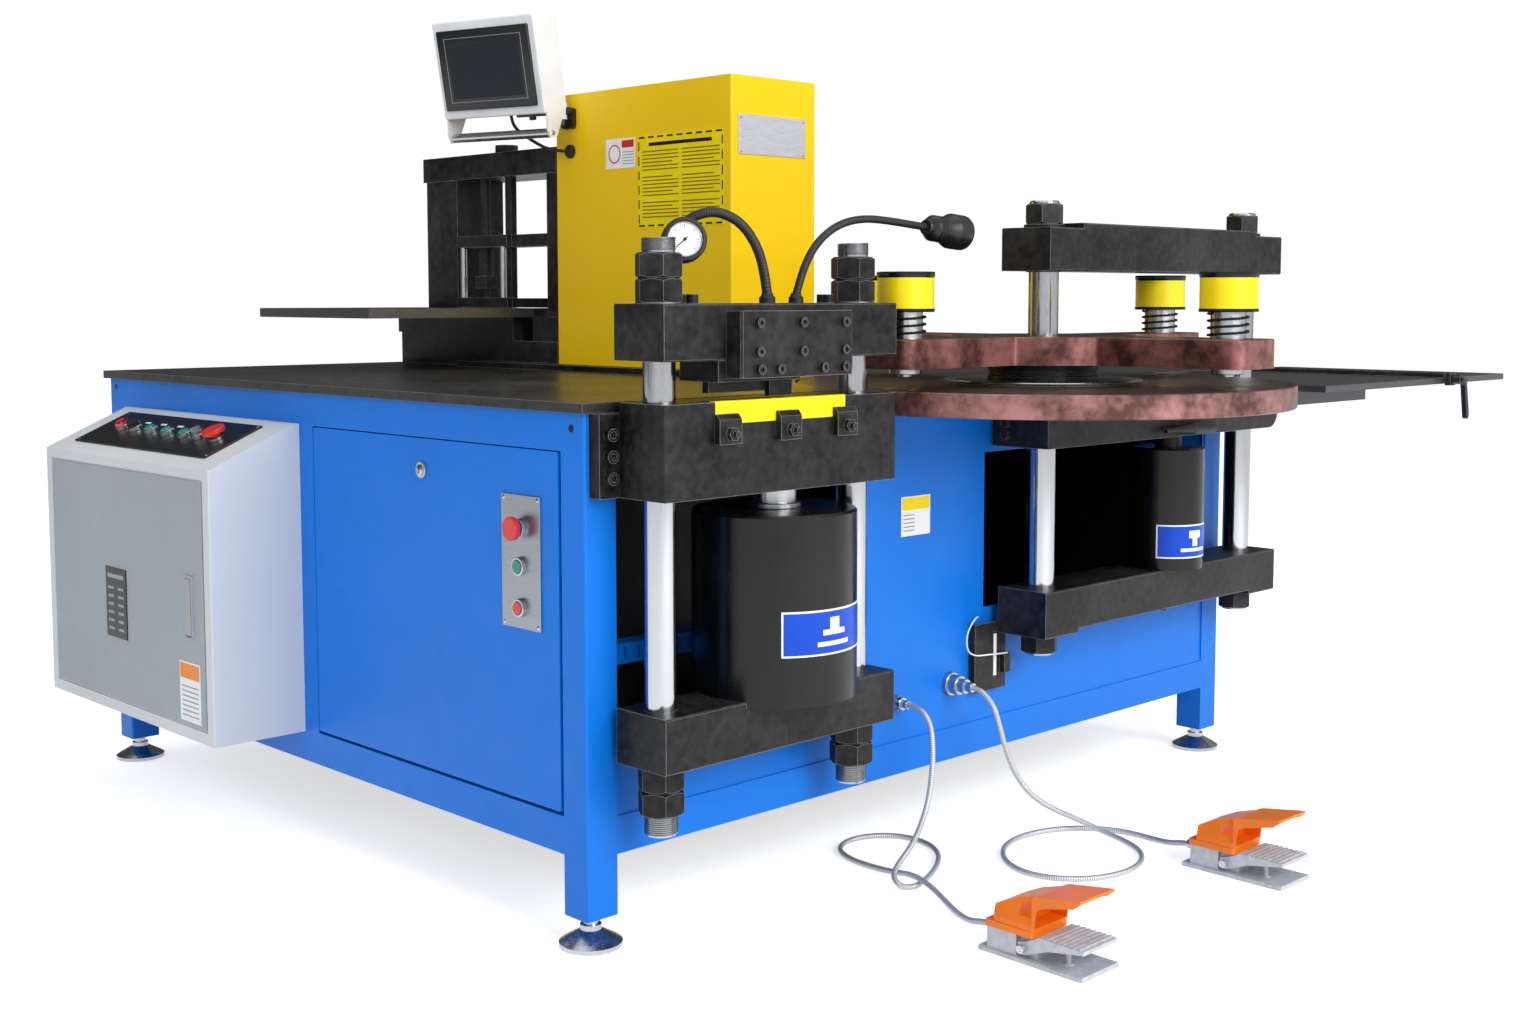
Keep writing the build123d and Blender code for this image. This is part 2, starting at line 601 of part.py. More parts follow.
# Upper and lower beams of the punching yoke
with BuildPart() as punch_upper_beam:
    block(punch_x0, punch_x1, punch_front, punch_back, punch_upper_z,
          punch_upper_z + punch_beam_height)
    block(punch_x0 + punch_pad_length, punch_x1 - punch_pad_length, punch_front, punch_back,
          punch_upper_z, punch_upper_z + punch_beam_height + punch_beam_rise)
    for cx in punch_columns_x:
        post(cx, press_y, punch_upper_z - 1.0, punch_upper_z + punch_beam_height + 1.0,
             punch_column_diameter, Mode.SUBTRACT)
    chamfer(punch_upper_beam.edges().filter_by(Axis.X), 2.0)
finish(punch_upper_beam.part, "punch_upper_beam")

with BuildPart() as punch_lower_beam:
    block(punch_x0, punch_x1, punch_front, punch_back, punch_lower_z,
          punch_lower_z + punch_beam_height)
    for px in (punch_x0, punch_x1 - punch_pad_length):
        block(px, px + punch_pad_length, punch_front, punch_back, punch_nut_z,
              punch_lower_z + 1.0)
    for cx in punch_columns_x:
        post(cx, press_y, punch_nut_z - 1.0, punch_lower_z + punch_beam_height + 1.0,
             punch_column_diameter, Mode.SUBTRACT)
    chamfer(punch_lower_beam.edges().filter_by(Axis.X), 2.0)
    post(punch_press_x - 20.0, press_y - 30.0, punch_lower_z - 9.0, punch_lower_z, 22.0)
finish(punch_lower_beam.part, "punch_lower_beam")

punch_upper_top = punch_upper_z + punch_beam_height
washer_height = 7.0
with BuildPart() as punch_columns:
    for cx in punch_columns_x:
        post(cx, press_y, punch_nut_z - punch_nut_height - 4.0,
             punch_upper_top + washer_height + punch_nut_height + 6.0, punch_column_diameter)
    chamfer(punch_columns.edges().filter_by(GeomType.CIRCLE), 3.0)

punch_nut = column_nut(punch_nut_flats, punch_nut_height, punch_column_diameter)
# Washers and nuts of the punching yoke, in one node with the columns
with BuildPart() as punch_nuts:
    for cx in punch_columns_x:
        with Locations((cx, press_y, punch_upper_top + washer_height),
                       (cx, press_y, punch_nut_z - punch_nut_height)):
            add(punch_nut)
        with BuildSketch(Plane.XY.offset(punch_upper_top)):
            with Locations((cx, press_y)):
                Circle(38.0)
                Circle(punch_column_diameter / 2, mode=Mode.SUBTRACT)
        extrude(amount=washer_height)
finish(Compound(children=[punch_columns.part, punch_nuts.part]), "punch_columns")

with BuildPart() as punch_cylinder:
    post(punch_press_x, punch_cylinder_y, punch_cylinder_z, punch_cylinder_top,
         punch_cylinder_diameter)
    chamfer(punch_cylinder.edges().filter_by(GeomType.CIRCLE).sort_by(Axis.Z)[-1], 4.0)
    post(punch_press_x, punch_cylinder_y, punch_cylinder_top - 70.0, punch_cylinder_top + 1.0,
         punch_rod_diameter + 2 * run_gap, Mode.SUBTRACT)
finish(punch_cylinder.part, "punch_cylinder")

head_angles = [0, 90, 180, 270]
die_insert_bore = punch_tip_diameter + 3.0
hub_bore = punch_column_diameter + 2 * 1.0
# Turret disc with four die inserts
with BuildPart() as turret_disc:
    with BuildSketch(Plane.XY.offset(disc_bottom)):
        with Locations((punch_axis_x, press_y)):
            Circle(disc_diameter / 2)
            Circle(hub_spigot_diameter / 2, mode=Mode.SUBTRACT)
            with PolarLocations(punch_radius, 4):
                Circle(die_insert_diameter / 2, mode=Mode.SUBTRACT)
    extrude(amount=disc_thickness)
    chamfer(turret_disc.edges().filter_by(GeomType.CIRCLE).group_by(SortBy.RADIUS)[-1], 2.0)
    with BuildSketch(Plane.XY.offset(disc_bottom)):
        with Locations((punch_axis_x, press_y)):
            with PolarLocations(punch_radius, 4):
                Circle(die_insert_diameter / 2 - run_gap)
                Circle(die_insert_bore / 2, mode=Mode.SUBTRACT)
    extrude(amount=disc_thickness)
finish(turret_disc.part, "turret_disc")

# Hub: lower flange, spigot through the disc, thin cover flange and the black ring
with BuildPart() as hub_body:
    with BuildSketch(Plane.XZ) as hub_profile:
        with BuildLine():
            Polyline((hub_bore / 2, disc_bottom - 6.0), (hub_flange_diameter / 2 - 50, disc_bottom - 6.0),
                     (hub_flange_diameter / 2 - 50, disc_bottom), (hub_spigot_diameter / 2, disc_bottom),
                     (hub_spigot_diameter / 2, disc_top), (hub_flange_diameter / 2, disc_top),
                     (hub_flange_diameter / 2, disc_top + 4), (hub_diameter / 2, disc_top + 4),
                     (hub_diameter / 2, disc_top + 12), (hub_diameter / 2 - 4, disc_top + 14),
                     (hub_diameter / 2 - 4, disc_top + 20), (hub_diameter / 2, disc_top + 22),
                     (hub_diameter / 2, star_z), (hub_bore / 2, star_z), close=True)
        make_face()
    revolve(axis=Axis.Z)
    hub_solid = hub_body.part
with BuildPart() as turret_hub:
    with Locations((punch_axis_x, press_y, 0)):
        add(hub_solid)
finish(turret_hub.part, "turret_hub")

# Star plate: round hub with four arms, each with a rounded tip and filleted roots
with BuildPart() as turret_star:
    with BuildSketch(Plane.XY.offset(star_z)) as star_profile:
        with Locations((punch_axis_x, press_y)):
            Circle(star_hub_diameter / 2)
            with PolarLocations(punch_radius / 2, 4):
                Rectangle(punch_radius, star_arm_width)
            with PolarLocations(punch_radius, 4):
                RectangleRounded(star_arm_width, star_arm_width, star_tip_corner)
        roots = [v for v in star_profile.vertices()
                 if math.hypot(v.X - punch_axis_x, v.Y - press_y) < star_hub_diameter * 0.7]
        fillet(roots, star_root_fillet)
        with Locations((punch_axis_x, press_y)):
            Circle(hub_bore / 2, mode=Mode.SUBTRACT)
            with PolarLocations(punch_radius, 4):
                Circle(stem_diameter / 2 + run_gap, mode=Mode.SUBTRACT)
    extrude(amount=star_thickness)
    chamfer(turret_star.faces().sort_by(Axis.Z)[-1].outer_wire().edges(), 2.0)
finish(turret_star.part, "turret_star")

star_top = star_z + star_thickness
spring_inner = spring_outer - 2 * spring_wire
head_top = head_bottom + head_height
# Punch head: yellow cap with two black rims, stem, collar and punch tip, made once
with BuildPart() as head_body:
    with BuildSketch(Plane.XZ) as head_profile:
        with BuildLine():
            Polyline((0, star_z - 15), (punch_tip_diameter / 2, star_z - 15),
                     (punch_tip_diameter / 2, star_z - 10.5), (collar_diameter / 2, star_z - 10.5),
                     (collar_diameter / 2, star_z - run_gap), (stem_diameter / 2, star_z - run_gap),
                     (stem_diameter / 2, head_bottom + 26), (spring_outer / 2 + 1, head_bottom + 26),
                     (spring_outer / 2 + 1, head_bottom), (head_diameter / 2, head_bottom),
                     (head_diameter / 2, head_bottom + head_rim),
                     (head_diameter / 2 - 1.5, head_bottom + head_rim + 1),
                     (head_diameter / 2 - 1.5, head_top - head_rim - 1),
                     (head_diameter / 2, head_top - head_rim), (head_diameter / 2, head_top - 2),
                     (head_diameter / 2 - 2, head_top), (0, head_top), close=True)
        make_face()
    revolve(axis=Axis.Z)
    one_head = head_body.part
for number, angle in enumerate(head_angles, start=1):
    hx = punch_axis_x + punch_radius * math.cos(math.radians(angle))
    hy = press_y + punch_radius * math.sin(math.radians(angle))
    with BuildPart() as punch_head:
        with Locations((hx, hy, 0)):
            add(one_head)
    finish(punch_head.part, "punch_head_" + str(number))

# Return springs, drawn as ribbed sleeves between the star plate and the caps
spring_turns = 5
spring_pitch = (head_bottom - star_top) / spring_turns
with BuildPart() as spring_body:
    with BuildSketch(Plane.XZ) as spring_profile:
        with BuildLine():
            points = [(spring_inner / 2, star_top)]
            for i in range(spring_turns):
                z = star_top + i * spring_pitch
                points += [(spring_outer / 2 - spring_wire / 2, z),
                           (spring_outer / 2, z + spring_pitch * 0.3),
                           (spring_outer / 2, z + spring_pitch * 0.7),
                           (spring_outer / 2 - spring_wire / 2, z + spring_pitch)]
            points += [(spring_inner / 2, star_top + spring_turns * spring_pitch)]
            clean = [p for i, p in enumerate(points) if i == 0 or p != points[i - 1]]
            Polyline(*clean, close=True)
        make_face()
    revolve(axis=Axis.Z)
    one_spring = spring_body.part
with BuildPart() as punch_springs:
    for angle in head_angles:
        with Locations((punch_axis_x + punch_radius * math.cos(math.radians(angle)),
                        press_y + punch_radius * math.sin(math.radians(angle)), 0)):
            add(one_spring)
finish(punch_springs.part, "punch_springs")

# Yellow cover of the bending drive
cover_x1 = cover_x0 + 235.0
cover_y0 = cover_y1 - 556.0
cover_top = 1441.0
with BuildPart() as bend_housing:
    block(cover_x0, cover_x1, cover_y0, cover_y1, table_top, cover_top)
    fillet(bend_housing.edges().filter_by(Axis.Z), 5.0)
finish(bend_housing.part, "bend_housing")

# Black frame of the bending unit: base with a stepped front, two posts, top beam and cross bar
bend_x0 = cover_x0
bend_x1 = bend_x0 + 135.0
base_top = 964.0
shelf_thickness = 20.0
base_y1 = cover_y1 + 618.0
post_y0 = cover_y1 + 382.0
post_y1 = cover_y1 + 506.0
bend_top_z = 1279.0
bend_top = 1334.0
shelf_top = base_top + shelf_thickness
ram_x = bend_x0 + 35.0
ram_y = cover_y1 + 312.0
ram_diameter = 34.0
ram_travel = 22.0
cross_z0 = 1121.0
cross_z1 = 1149.0
ram_top = cross_z0 + 3.0
with BuildPart() as bend_frame:
    block(bend_x0, cover_x1, cover_y1, base_y1, table_top, base_top)
    block(bend_x0 - 1.0, bend_x0 + 60.0, cover_y1 - 1.0, cover_y1 + 163.0, 910.0, base_top + 1.0,
          Mode.SUBTRACT)
    block(bend_x0 + 14.0, bend_x0 + 60.0, cover_y1, cover_y1 + 107.0, 910.0, shelf_top)
    block(bend_x0, cover_x1, base_y1, base_y1 + 14.0, base_top - 40.0, base_top)
    # Strip along the foot of the cover and the base
    block(cover_x0 - 44.0, cover_x0, cover_y0 + 78.0, cover_y1 + 325.0, table_top, table_top + 13.0)
    block(cover_x0 - 70.0, cover_x0, cover_y0 + 26.0, cover_y0 + 78.0, table_top, table_top + 13.0)
    # Posts, cross bar and top beam
    block(bend_x0 + 4.0, bend_x1, post_y0, post_y1, base_top, bend_top_z)
    block(bend_x0 + 4.0, bend_x1, cover_y1, cover_y1 + 40.0, base_top, bend_top_z)
    block(bend_x0 + 32.0, bend_x0 + 48.0, cover_y1 + 210.0, cover_y1 + 232.0, shelf_top, bend_top_z)
    block(bend_x0 + 14.0, bend_x0 + 56.0, cover_y1, post_y0, cross_z0, cross_z1)
    block(bend_x0 + 14.0, bend_x0 + 52.0, cover_y1, post_y0, shelf_top + 1.0, shelf_top + 22.0)
    block(bend_x0, bend_x1, cover_y1, post_y1 + 8.0, bend_top_z, bend_top)
    post(bend_x0 + 65.0, ram_y - 43.0, bend_top, bend_top + 22.0, 52.0)
    post(ram_x, ram_y, cross_z1 - 1.0, bend_top_z + 4.0, 24.0)
    post(ram_x, ram_y, cross_z0 - 1.0, ram_top + ram_travel + seat_gap,
         ram_diameter + 2 * run_gap, Mode.SUBTRACT)
    block(bend_x0 - 1.0, bend_x0 + 14.0, cover_y1 + 194.0, post_y0, 1089.0, 1160.0, Mode.SUBTRACT)
# Bright guide plates and rods of the bending unit
guide_x = bend_x0 + 7.0
guide_y0 = cover_y1 + 184.0
guide_y1 = cover_y1 + 379.0
rod_diameter = 16.0
with BuildPart() as bend_guides:
    block(bend_x0, bend_x0 + 14.0, guide_y0, guide_y1, 1123.0, 1149.0)
    block(bend_x0, bend_x0 + 14.0, guide_y0, guide_y1, shelf_top, shelf_top + 23.0)
    for ry in (guide_y0 + 24.0, guide_y1 - 16.0):
        with BuildSketch(Plane.XY.offset(shelf_top + 23.0)):
            with Locations((guide_x, ry)):
                Circle(rod_diameter / 2)
        extrude(amount=1123.0 - shelf_top - 23.0)
finish(Compound(children=[bend_frame.part, bend_guides.part]), "bend_frame")

# Ram of the bending unit: rod, tool block and pin
with BuildPart() as bend_ram:
    post(ram_x, ram_y, 1057.0, ram_top, ram_diameter)
    block(ram_x - 16.0, ram_x + 16.0, ram_y - 19.0, ram_y + 21.0, 1029.0, 1057.0)
    post(ram_x, ram_y, shelf_top + 24.0, 1029.0, 16.0)
finish(bend_ram.part, "bend_ram")

# Work shelf in front of the bending unit
shelf_x0 = cover_x0 - 407.0
shelf_y0 = cover_y1 + 107.0
shelf_y1 = cover_y1 + 562.0
with BuildPart() as bar_shelf:
    block(shelf_x0, bend_x0 + 14.0, shelf_y0, shelf_y1, base_top, shelf_top)
    block(bend_x0 + 4.0 - seat_gap, bend_x0 + 15.0, post_y0 - seat_gap, post_y1 + seat_gap, base_top - 1.0,
          shelf_top + 1.0, Mode.SUBTRACT)
    chamfer(bar_shelf.edges().filter_by(Axis.Y).group_by(Axis.X)[0], 1.0)
finish(bar_shelf.part, "bar_shelf")

# Operator panel: a leaning housing with cheeks and a grab bar, on a swivel bracket
hmi_yaw = 14.8
hmi_lean = 11.3
hmi_width = 275.5
hmi_height = 206.0
hmi_depth = 78.6
hmi_centre = Vector(cover_x0 - 140.0, cover_y1 + 52.0, cover_top + 53.0)
yaw = math.radians(hmi_yaw)
lean = math.radians(-hmi_lean)
hmi_normal = Vector(-math.cos(yaw) * math.cos(lean), -math.sin(yaw) * math.cos(lean), math.sin(lean))
hmi_right = Vector(math.sin(yaw), -math.cos(yaw), 0.0)
hmi_face = Plane(origin=hmi_centre, x_dir=hmi_right, z_dir=hmi_normal)
cheek_thickness = 4.0
bezel_width = 246.0
bezel_height = 168.0
bezel_proud = 7.0
bar_drop = -hmi_height / 2 - 42.0
bar_diameter = 19.0
pivot_x = cover_x0 - 21.0
pivot_y = cover_y1 - 50.0
pivot_top = cover_top - 54.0
with BuildPart() as hmi_housing:
    with BuildSketch(hmi_face.offset(-hmi_depth)):
        Rectangle(hmi_width, hmi_height)
    extrude(amount=hmi_depth)
    fillet(hmi_housing.edges(), 4.0)
    for side in (-1, 1):
        with BuildSketch(Plane(origin=hmi_face.from_local_coords(
                (side * (hmi_width / 2 - cheek_thickness / 2) - cheek_thickness / 2, 0, 0)),
                x_dir=-hmi_normal, z_dir=hmi_right)):
            with BuildLine():
                Polyline((8, -hmi_height / 2 + 6), (hmi_depth - 8, -hmi_height / 2 + 6),
                         (hmi_depth - 14, -hmi_height / 2 - 6), (30, -hmi_height / 2 - 52),
                         (8, -hmi_height / 2 - 52), (2, -hmi_height / 2 - 34), close=True)
            make_face()
        extrude(amount=cheek_thickness)
    # Boss that stands on the pivot of the bracket
    post(pivot_x, pivot_y, pivot_top, pivot_top + 34.0, 22.0)
    # Underside plate
    with BuildSketch(Plane(origin=hmi_face.from_local_coords((84, -hmi_height / 2, -50)),
                           x_dir=hmi_right, z_dir=-hmi_face.y_dir)):
        Rectangle(88, 46)
    extrude(amount=6.0)
with BuildPart() as hmi_bar:
    with BuildSketch(Plane(origin=hmi_face.from_local_coords(
            (-hmi_width / 2 + cheek_thickness + 0.2, bar_drop, -18)), x_dir=hmi_normal, z_dir=hmi_right)):
        Circle(bar_diameter / 2)
    extrude(amount=hmi_width - 2 * cheek_thickness - 0.4)
with BuildPart() as hmi_bezel:
    with BuildSketch(hmi_face.offset(0.0)):
        Rectangle(bezel_width, bezel_height)
    extrude(amount=bezel_proud)
    chamfer(hmi_bezel.faces().sort_by(Axis(hmi_centre, hmi_normal))[-1].edges(), 3.0)
    with BuildSketch(hmi_face.offset(bezel_proud - 1.5)):
        with Locations((-2, -2)):
            Rectangle(160, 96)
    extrude(amount=2.0, mode=Mode.SUBTRACT)
finish(Compound(children=[hmi_housing.part, hmi_bar.part, hmi_bezel.part]), "hmi_housing")

grommet_y = cover_y1 - 54.0
grommet_z = cover_top - 121.0
# Bracket of the operator panel on the yellow cover, with its upright pivot
with BuildPart() as hmi_bracket:
    block(cover_x0 - 10.0, cover_x0, pivot_y - 22.0, pivot_y + 18.0, cover_top - 73.0, cover_top - 29.0)
    fillet(hmi_bracket.edges().filter_by(Axis.X), 8.0)
    block(pivot_x - 4.0, cover_x0 - 9.0, pivot_y - 8.0, pivot_y + 8.0, pivot_top - 11.0, pivot_top - 1.0)
    post(pivot_x, pivot_y, pivot_top - 13.0, pivot_top, 20.0)
    # Cable grommet below the bracket
    with BuildSketch(Plane(origin=(cover_x0, grommet_y, grommet_z), z_dir=(-1, 0, 0))):
        Circle(14.0)
    extrude(amount=7.0)
finish(hmi_bracket.part, "hmi_bracket")

# Electrical cabinet on the left end: sloped console top
cabinet_x0 = left_x - 182.0
cabinet_z0 = 199.0
cabinet_front_z = 700.0
cabinet_back_z = 776.0
cabinet_back_x = left_x
cabinet_door_y0 = cabinet_y0 + 28.0
cabinet_door_y1 = cabinet_y1 - 31.0
cabinet_door_z0 = cabinet_z0 + 26.0
cabinet_door_z1 = cabinet_front_z - 22.0
with BuildPart() as cabinet:
    with BuildSketch(Plane(origin=(0, cabinet_y0, 0), x_dir=(1, 0, 0), z_dir=(0, -1, 0))) as side:
        with BuildLine():
            Polyline((cabinet_x0, cabinet_z0), (cabinet_back_x, cabinet_z0),
                     (cabinet_back_x, cabinet_back_z), (cabinet_back_x - 10, cabinet_back_z),
                     (cabinet_x0, cabinet_front_z), close=True)
        make_face()
    extrude(amount=-(cabinet_y1 - cabinet_y0))
    fillet(cabinet.edges().filter_by(Axis.Z).group_by(Axis.X)[0], 3.0)
    block(cabinet_x0 - 1.0, cabinet_x0 + 3.0, cabinet_door_y0 - door_gap, cabinet_door_y1 + door_gap,
          cabinet_door_z0 - door_gap, cabinet_door_z1 + door_gap, Mode.SUBTRACT)
finish(cabinet.part, "cabinet")

cabinet_door_face = cabinet_x0 - 1.0
latch_y = cabinet_y0 + 81.0
latch_z = 446.0
with BuildPart() as cabinet_door:
    block(cabinet_door_face, cabinet_x0 + 3.0 - seat_gap, cabinet_door_y0, cabinet_door_y1,
          cabinet_door_z0, cabinet_door_z1)
    # Plain black label plate with raised rim
    block(cabinet_door_face - 1.5, cabinet_door_face, cabinet_y0 + 341.0, cabinet_y0 + 429.0, 348.0, 484.0)
    # Dished tray of the flush latch
    block(cabinet_door_face - 3.0, cabinet_door_face, latch_y - 15.0, latch_y + 15.0,
          latch_z - 60.0, latch_z + 58.0)
    block(cabinet_door_face - 4.0, cabinet_door_face + 1.5, latch_y - 10.5, latch_y + 10.5,
          latch_z - 55.5, latch_z + 53.0, Mode.SUBTRACT)
finish(cabinet_door.part, "cabinet_door")

with BuildPart() as cabinet_latch:
    block(cabinet_door_face - 3.5, cabinet_door_face - 0.5, latch_y - 10.0, latch_y + 10.0,
          latch_z - 52.0, latch_z + 52.0)
    fillet(cabinet_latch.edges().filter_by(Axis.X), 4.0)
    with BuildSketch(Plane.XZ.offset(-(latch_y + 10.0))):
        with Locations((cabinet_door_face - 0.5, latch_z - 49.0)):
            Circle(1.8)
    extrude(amount=20.0)
finish(cabinet_latch.part, "cabinet_latch")

# Console plate on the slope, with its collars and the pilot lamp
slope_start = Vector(cabinet_x0, 0.0, cabinet_front_z)
slope_along = (Vector(cabinet_back_x - 10.0, 0.0, cabinet_back_z) - slope_start).normalized()
slope_normal = Vector(-slope_along.Z, 0.0, slope_along.X)
console_y0 = cabinet_y0 + 77.0
console_y1 = cabinet_y1 - 66.0
console_s0 = 37.0
console_s1 = 165.0
console_mid = slope_start + slope_along * ((console_s0 + console_s1) / 2)
console_plane = Plane(origin=Vector(console_mid.X, (console_y0 + console_y1) / 2, console_mid.Z),
                      x_dir=(0, -1, 0), z_dir=slope_normal)
console_thickness = 3.0
lamp_u = -180.0
selector_u = -125.0
green_u = [-55.0, 16.0, 90.0]
key_u = 147.0
console_stop_u = 217.0
with BuildPart() as control_plates:
    with BuildSketch(console_plane):
        RectangleRounded(console_y1 - console_y0, console_s1 - console_s0, 4.0)
    extrude(amount=console_thickness)
    for u in [lamp_u, selector_u, *green_u, key_u, console_stop_u]:
        with BuildSketch(console_plane.offset(console_thickness)):
            with Locations((u, 0)):
                Circle(collar_radius)
        extrude(amount=collar_height)
    for u in [*green_u, console_stop_u]:
        with BuildSketch(console_plane.offset(console_thickness + collar_height)):
            with Locations((u, 0)):
                Circle(cap_radius + run_gap)
        extrude(amount=-(collar_height - collar_floor), mode=Mode.SUBTRACT)
    # Pilot lamp: a faceted lens
    with BuildSketch(console_plane.offset(console_thickness + collar_height)):
        with Locations((lamp_u, 0)):
            RegularPolygon(radius=13.5, side_count=8)
    extrude(amount=10.0)
finish(control_plates.part, "control_plates")


def push_button(plane, label):
    """A flat round push button cap that runs in its collar."""
    with BuildPart() as cap:
        with BuildSketch(plane):
            Circle(cap_radius)
        extrude(amount=cap_height)
        fillet(cap.edges().filter_by(GeomType.CIRCLE), 1.0)
    finish(cap.part, label)


def mushroom(plane, label, head_diameter):
    """A stop button: a neck that runs in the collar and a wide flat head."""
    neck = collar_height - collar_floor
    with BuildPart() as head:
        with BuildSketch(plane):
            Circle(cap_radius)
        extrude(amount=neck)
        with BuildSketch(plane.offset(neck)):
            Circle(head_diameter / 2)
        extrude(amount=10.0)
        fillet(head.edges().filter_by(GeomType.CIRCLE).sort_by(SortBy.RADIUS)[-2:], 2.0)
    finish(head.part, label)


def rotary(plane, label, handle_length):
    """A selector: round knob with a raised grip."""
    with BuildPart() as knob:
        with BuildSketch(plane):
            Circle(11.5)
        extrude(amount=5.0)
        with BuildSketch(plane.offset(5.0)):
            SlotOverall(handle_length, 8.0, rotation=60.0)
        extrude(amount=10.0)
    finish(knob.part, label)


def console_spot(u, height):
    """The plane over one hole of the console."""
    origin = console_plane.from_local_coords((u, 0, console_thickness + height))
    return Plane(origin=origin, x_dir=console_plane.x_dir, z_dir=console_plane.z_dir)


for number, u in enumerate(green_u, start=1):
    push_button(console_spot(u, collar_floor + press_travel + seat_gap),
                "console_button_" + str(number))
rotary(console_spot(selector_u, collar_height + seat_gap), "console_selector", 24.0)
rotary(console_spot(key_u, collar_height + seat_gap), "console_key", 20.0)
mushroom(console_spot(console_stop_u, collar_floor + stop_travel + seat_gap), "console_stop", 44.0)
for bz, label in side_controls:
    travel = stop_travel if label == "side_stop" else press_travel
    spot = Plane(origin=(door_face_x - button_plate_thickness - collar_floor - travel - seat_gap,
                         button_y, bz), x_dir=(0, -1, 0), z_dir=(-1, 0, 0))
    if label == "side_stop":
        mushroom(spot, label, 38.0)
    else:
        push_button(spot, label)

# Support table beyond the right-hand end, on two arms from the frame
rack_x0 = half_length + 53.0
rack_x1 = rack_x0 + 900.0
rack_y0 = press_y - 155.0
rack_y1 = press_y + 460.0
rack_top = 818.0
rack_thickness = 14.0
arm_height = 50.0
rail_x = rack_x1 - 320.0
arm_ys = (rack_y0 + 255.0, rack_y1 - 50.0)
rail_width = 44.0
rail_thickness = 11.0
with BuildPart() as support_table:
    block(rack_x0, rack_x1, rack_y0, rack_y1, rack_top - rack_thickness, rack_top)
    fillet(support_table.edges().filter_by(Axis.Z), 4.0)
    for ay in arm_ys:
        block(half_length, rack_x1 - 260.0, ay - 20.0, ay + 20.0,
              rack_top - rack_thickness - arm_height, rack_top - rack_thickness)
    block(half_length, half_length + 10.0, arm_ys[0] - 25.0, arm_ys[1] + 25.0, rack_top - rack_thickness - 90.0,
          rack_top - rack_thickness)
finish(support_table.part, "support_table")

# Stop rail across the support table, clamped at the front edge
with BuildPart() as stop_rail:
    block(rail_x - rail_width / 2, rail_x + rail_width / 2, rack_y0 - 1.0, rack_y1,
          rack_top + seat_gap, rack_top + rail_thickness)
    block(rail_x - 14.0, rail_x + 14.0, rack_y0 - 14.0, rack_y0 - seat_gap,
          rack_top - rack_thickness - 4.0, rack_top + rail_thickness)
    with BuildSketch(Plane(origin=(rail_x, rack_y0 - 14.0, rack_top - 4.0), x_dir=(1, 0, 0),
                           z_dir=(0, -1, 0))):
        Circle(5.0)
    extrude(amount=7.0)
finish(stop_rail.part, "stop_rail")

lever_length = 96.0
with BuildPart() as clamp_lever:
    with BuildSketch(Plane(origin=(rail_x, rack_y0 - 15.0, rack_top - 4.0), x_dir=(1, 0, 0),
                           z_dir=(0, -1, 0))):
        Circle(11.0)
        Circle(5.0 + run_gap, mode=Mode.SUBTRACT)
    extrude(amount=20.0)
    with BuildSketch(Plane(origin=(rail_x, rack_y0 - 25.0, rack_top - 4.0), x_dir=(1, 0, 0),
                           z_dir=(0, -1, 0))) as lever_profile:
        with BuildLine():
            Polyline((6, -2), (12, 6), (26, 2), (44, -lever_length + 14), (40, -lever_length),
                     (32, -lever_length + 4), (17, -14), close=True)
        make_face()
        fillet(lever_profile.vertices().sort_by(Axis.Y)[:3], 4.0)
    extrude(amount=11.0)
finish(clamp_lever.part, "clamp_lever")

# Fittings on the front face: two cable glands, the limit switch with its slotted plate
cord_diameter = 10.0
gland_1_x = cut_x1 + 154.0
gland_1_z = 277.0
gland_2_x = punch_x0 - 117.0
gland_2_z = 288.0
gland_face = panel_face
switch_x = punch_x0 - 62.0
switch_y = gland_face - 16.0
with BuildPart() as front_fittings:
    front_disc(gland_1_x, gland_1_z, gland_face, 10.0, 26.0)
    front_hexagon(gland_1_x, gland_1_z, gland_face - 10.0, 10.0, 22.0)
    front_disc(gland_1_x, gland_1_z, gland_face - 20.0, 12.0, 15.0)
    front_disc(gland_2_x, gland_2_z, gland_face, 9.0, 44.0)
    front_disc(gland_2_x, gland_2_z, gland_face - 9.0, 18.0, 36.0)
    front_disc(gland_2_x, gland_2_z, gland_face - 27.0, 14.0, 26.0)
    front_disc(gland_2_x, gland_2_z, gland_face - 41.0, 16.0, 18.0)
    # Slotted plate of the limit switch on a standing leg
    block(switch_x, switch_x + 93.0, switch_y, switch_y + 5.0, 262.0, 392.0)
    block(switch_x + 55.0, switch_x + 65.0, switch_y - 1.0, switch_y + 6.0, 285.0, 372.0,
          Mode.SUBTRACT)
    block(switch_x, switch_x + 5.0, switch_y + 5.0, gland_face, 262.0, 392.0)
    block(switch_x + 75.0, switch_x + 93.0, switch_y - 12.0, switch_y, 292.0, 330.0)
finish(front_fittings.part, "front_fittings")

tank_x0 = punch_axis_x - 268.0
tank_y0 = front_y + 460.0
tank_top = 420.0
motor_y = front_y + 440.0
motor_z = tank_top + 120.0
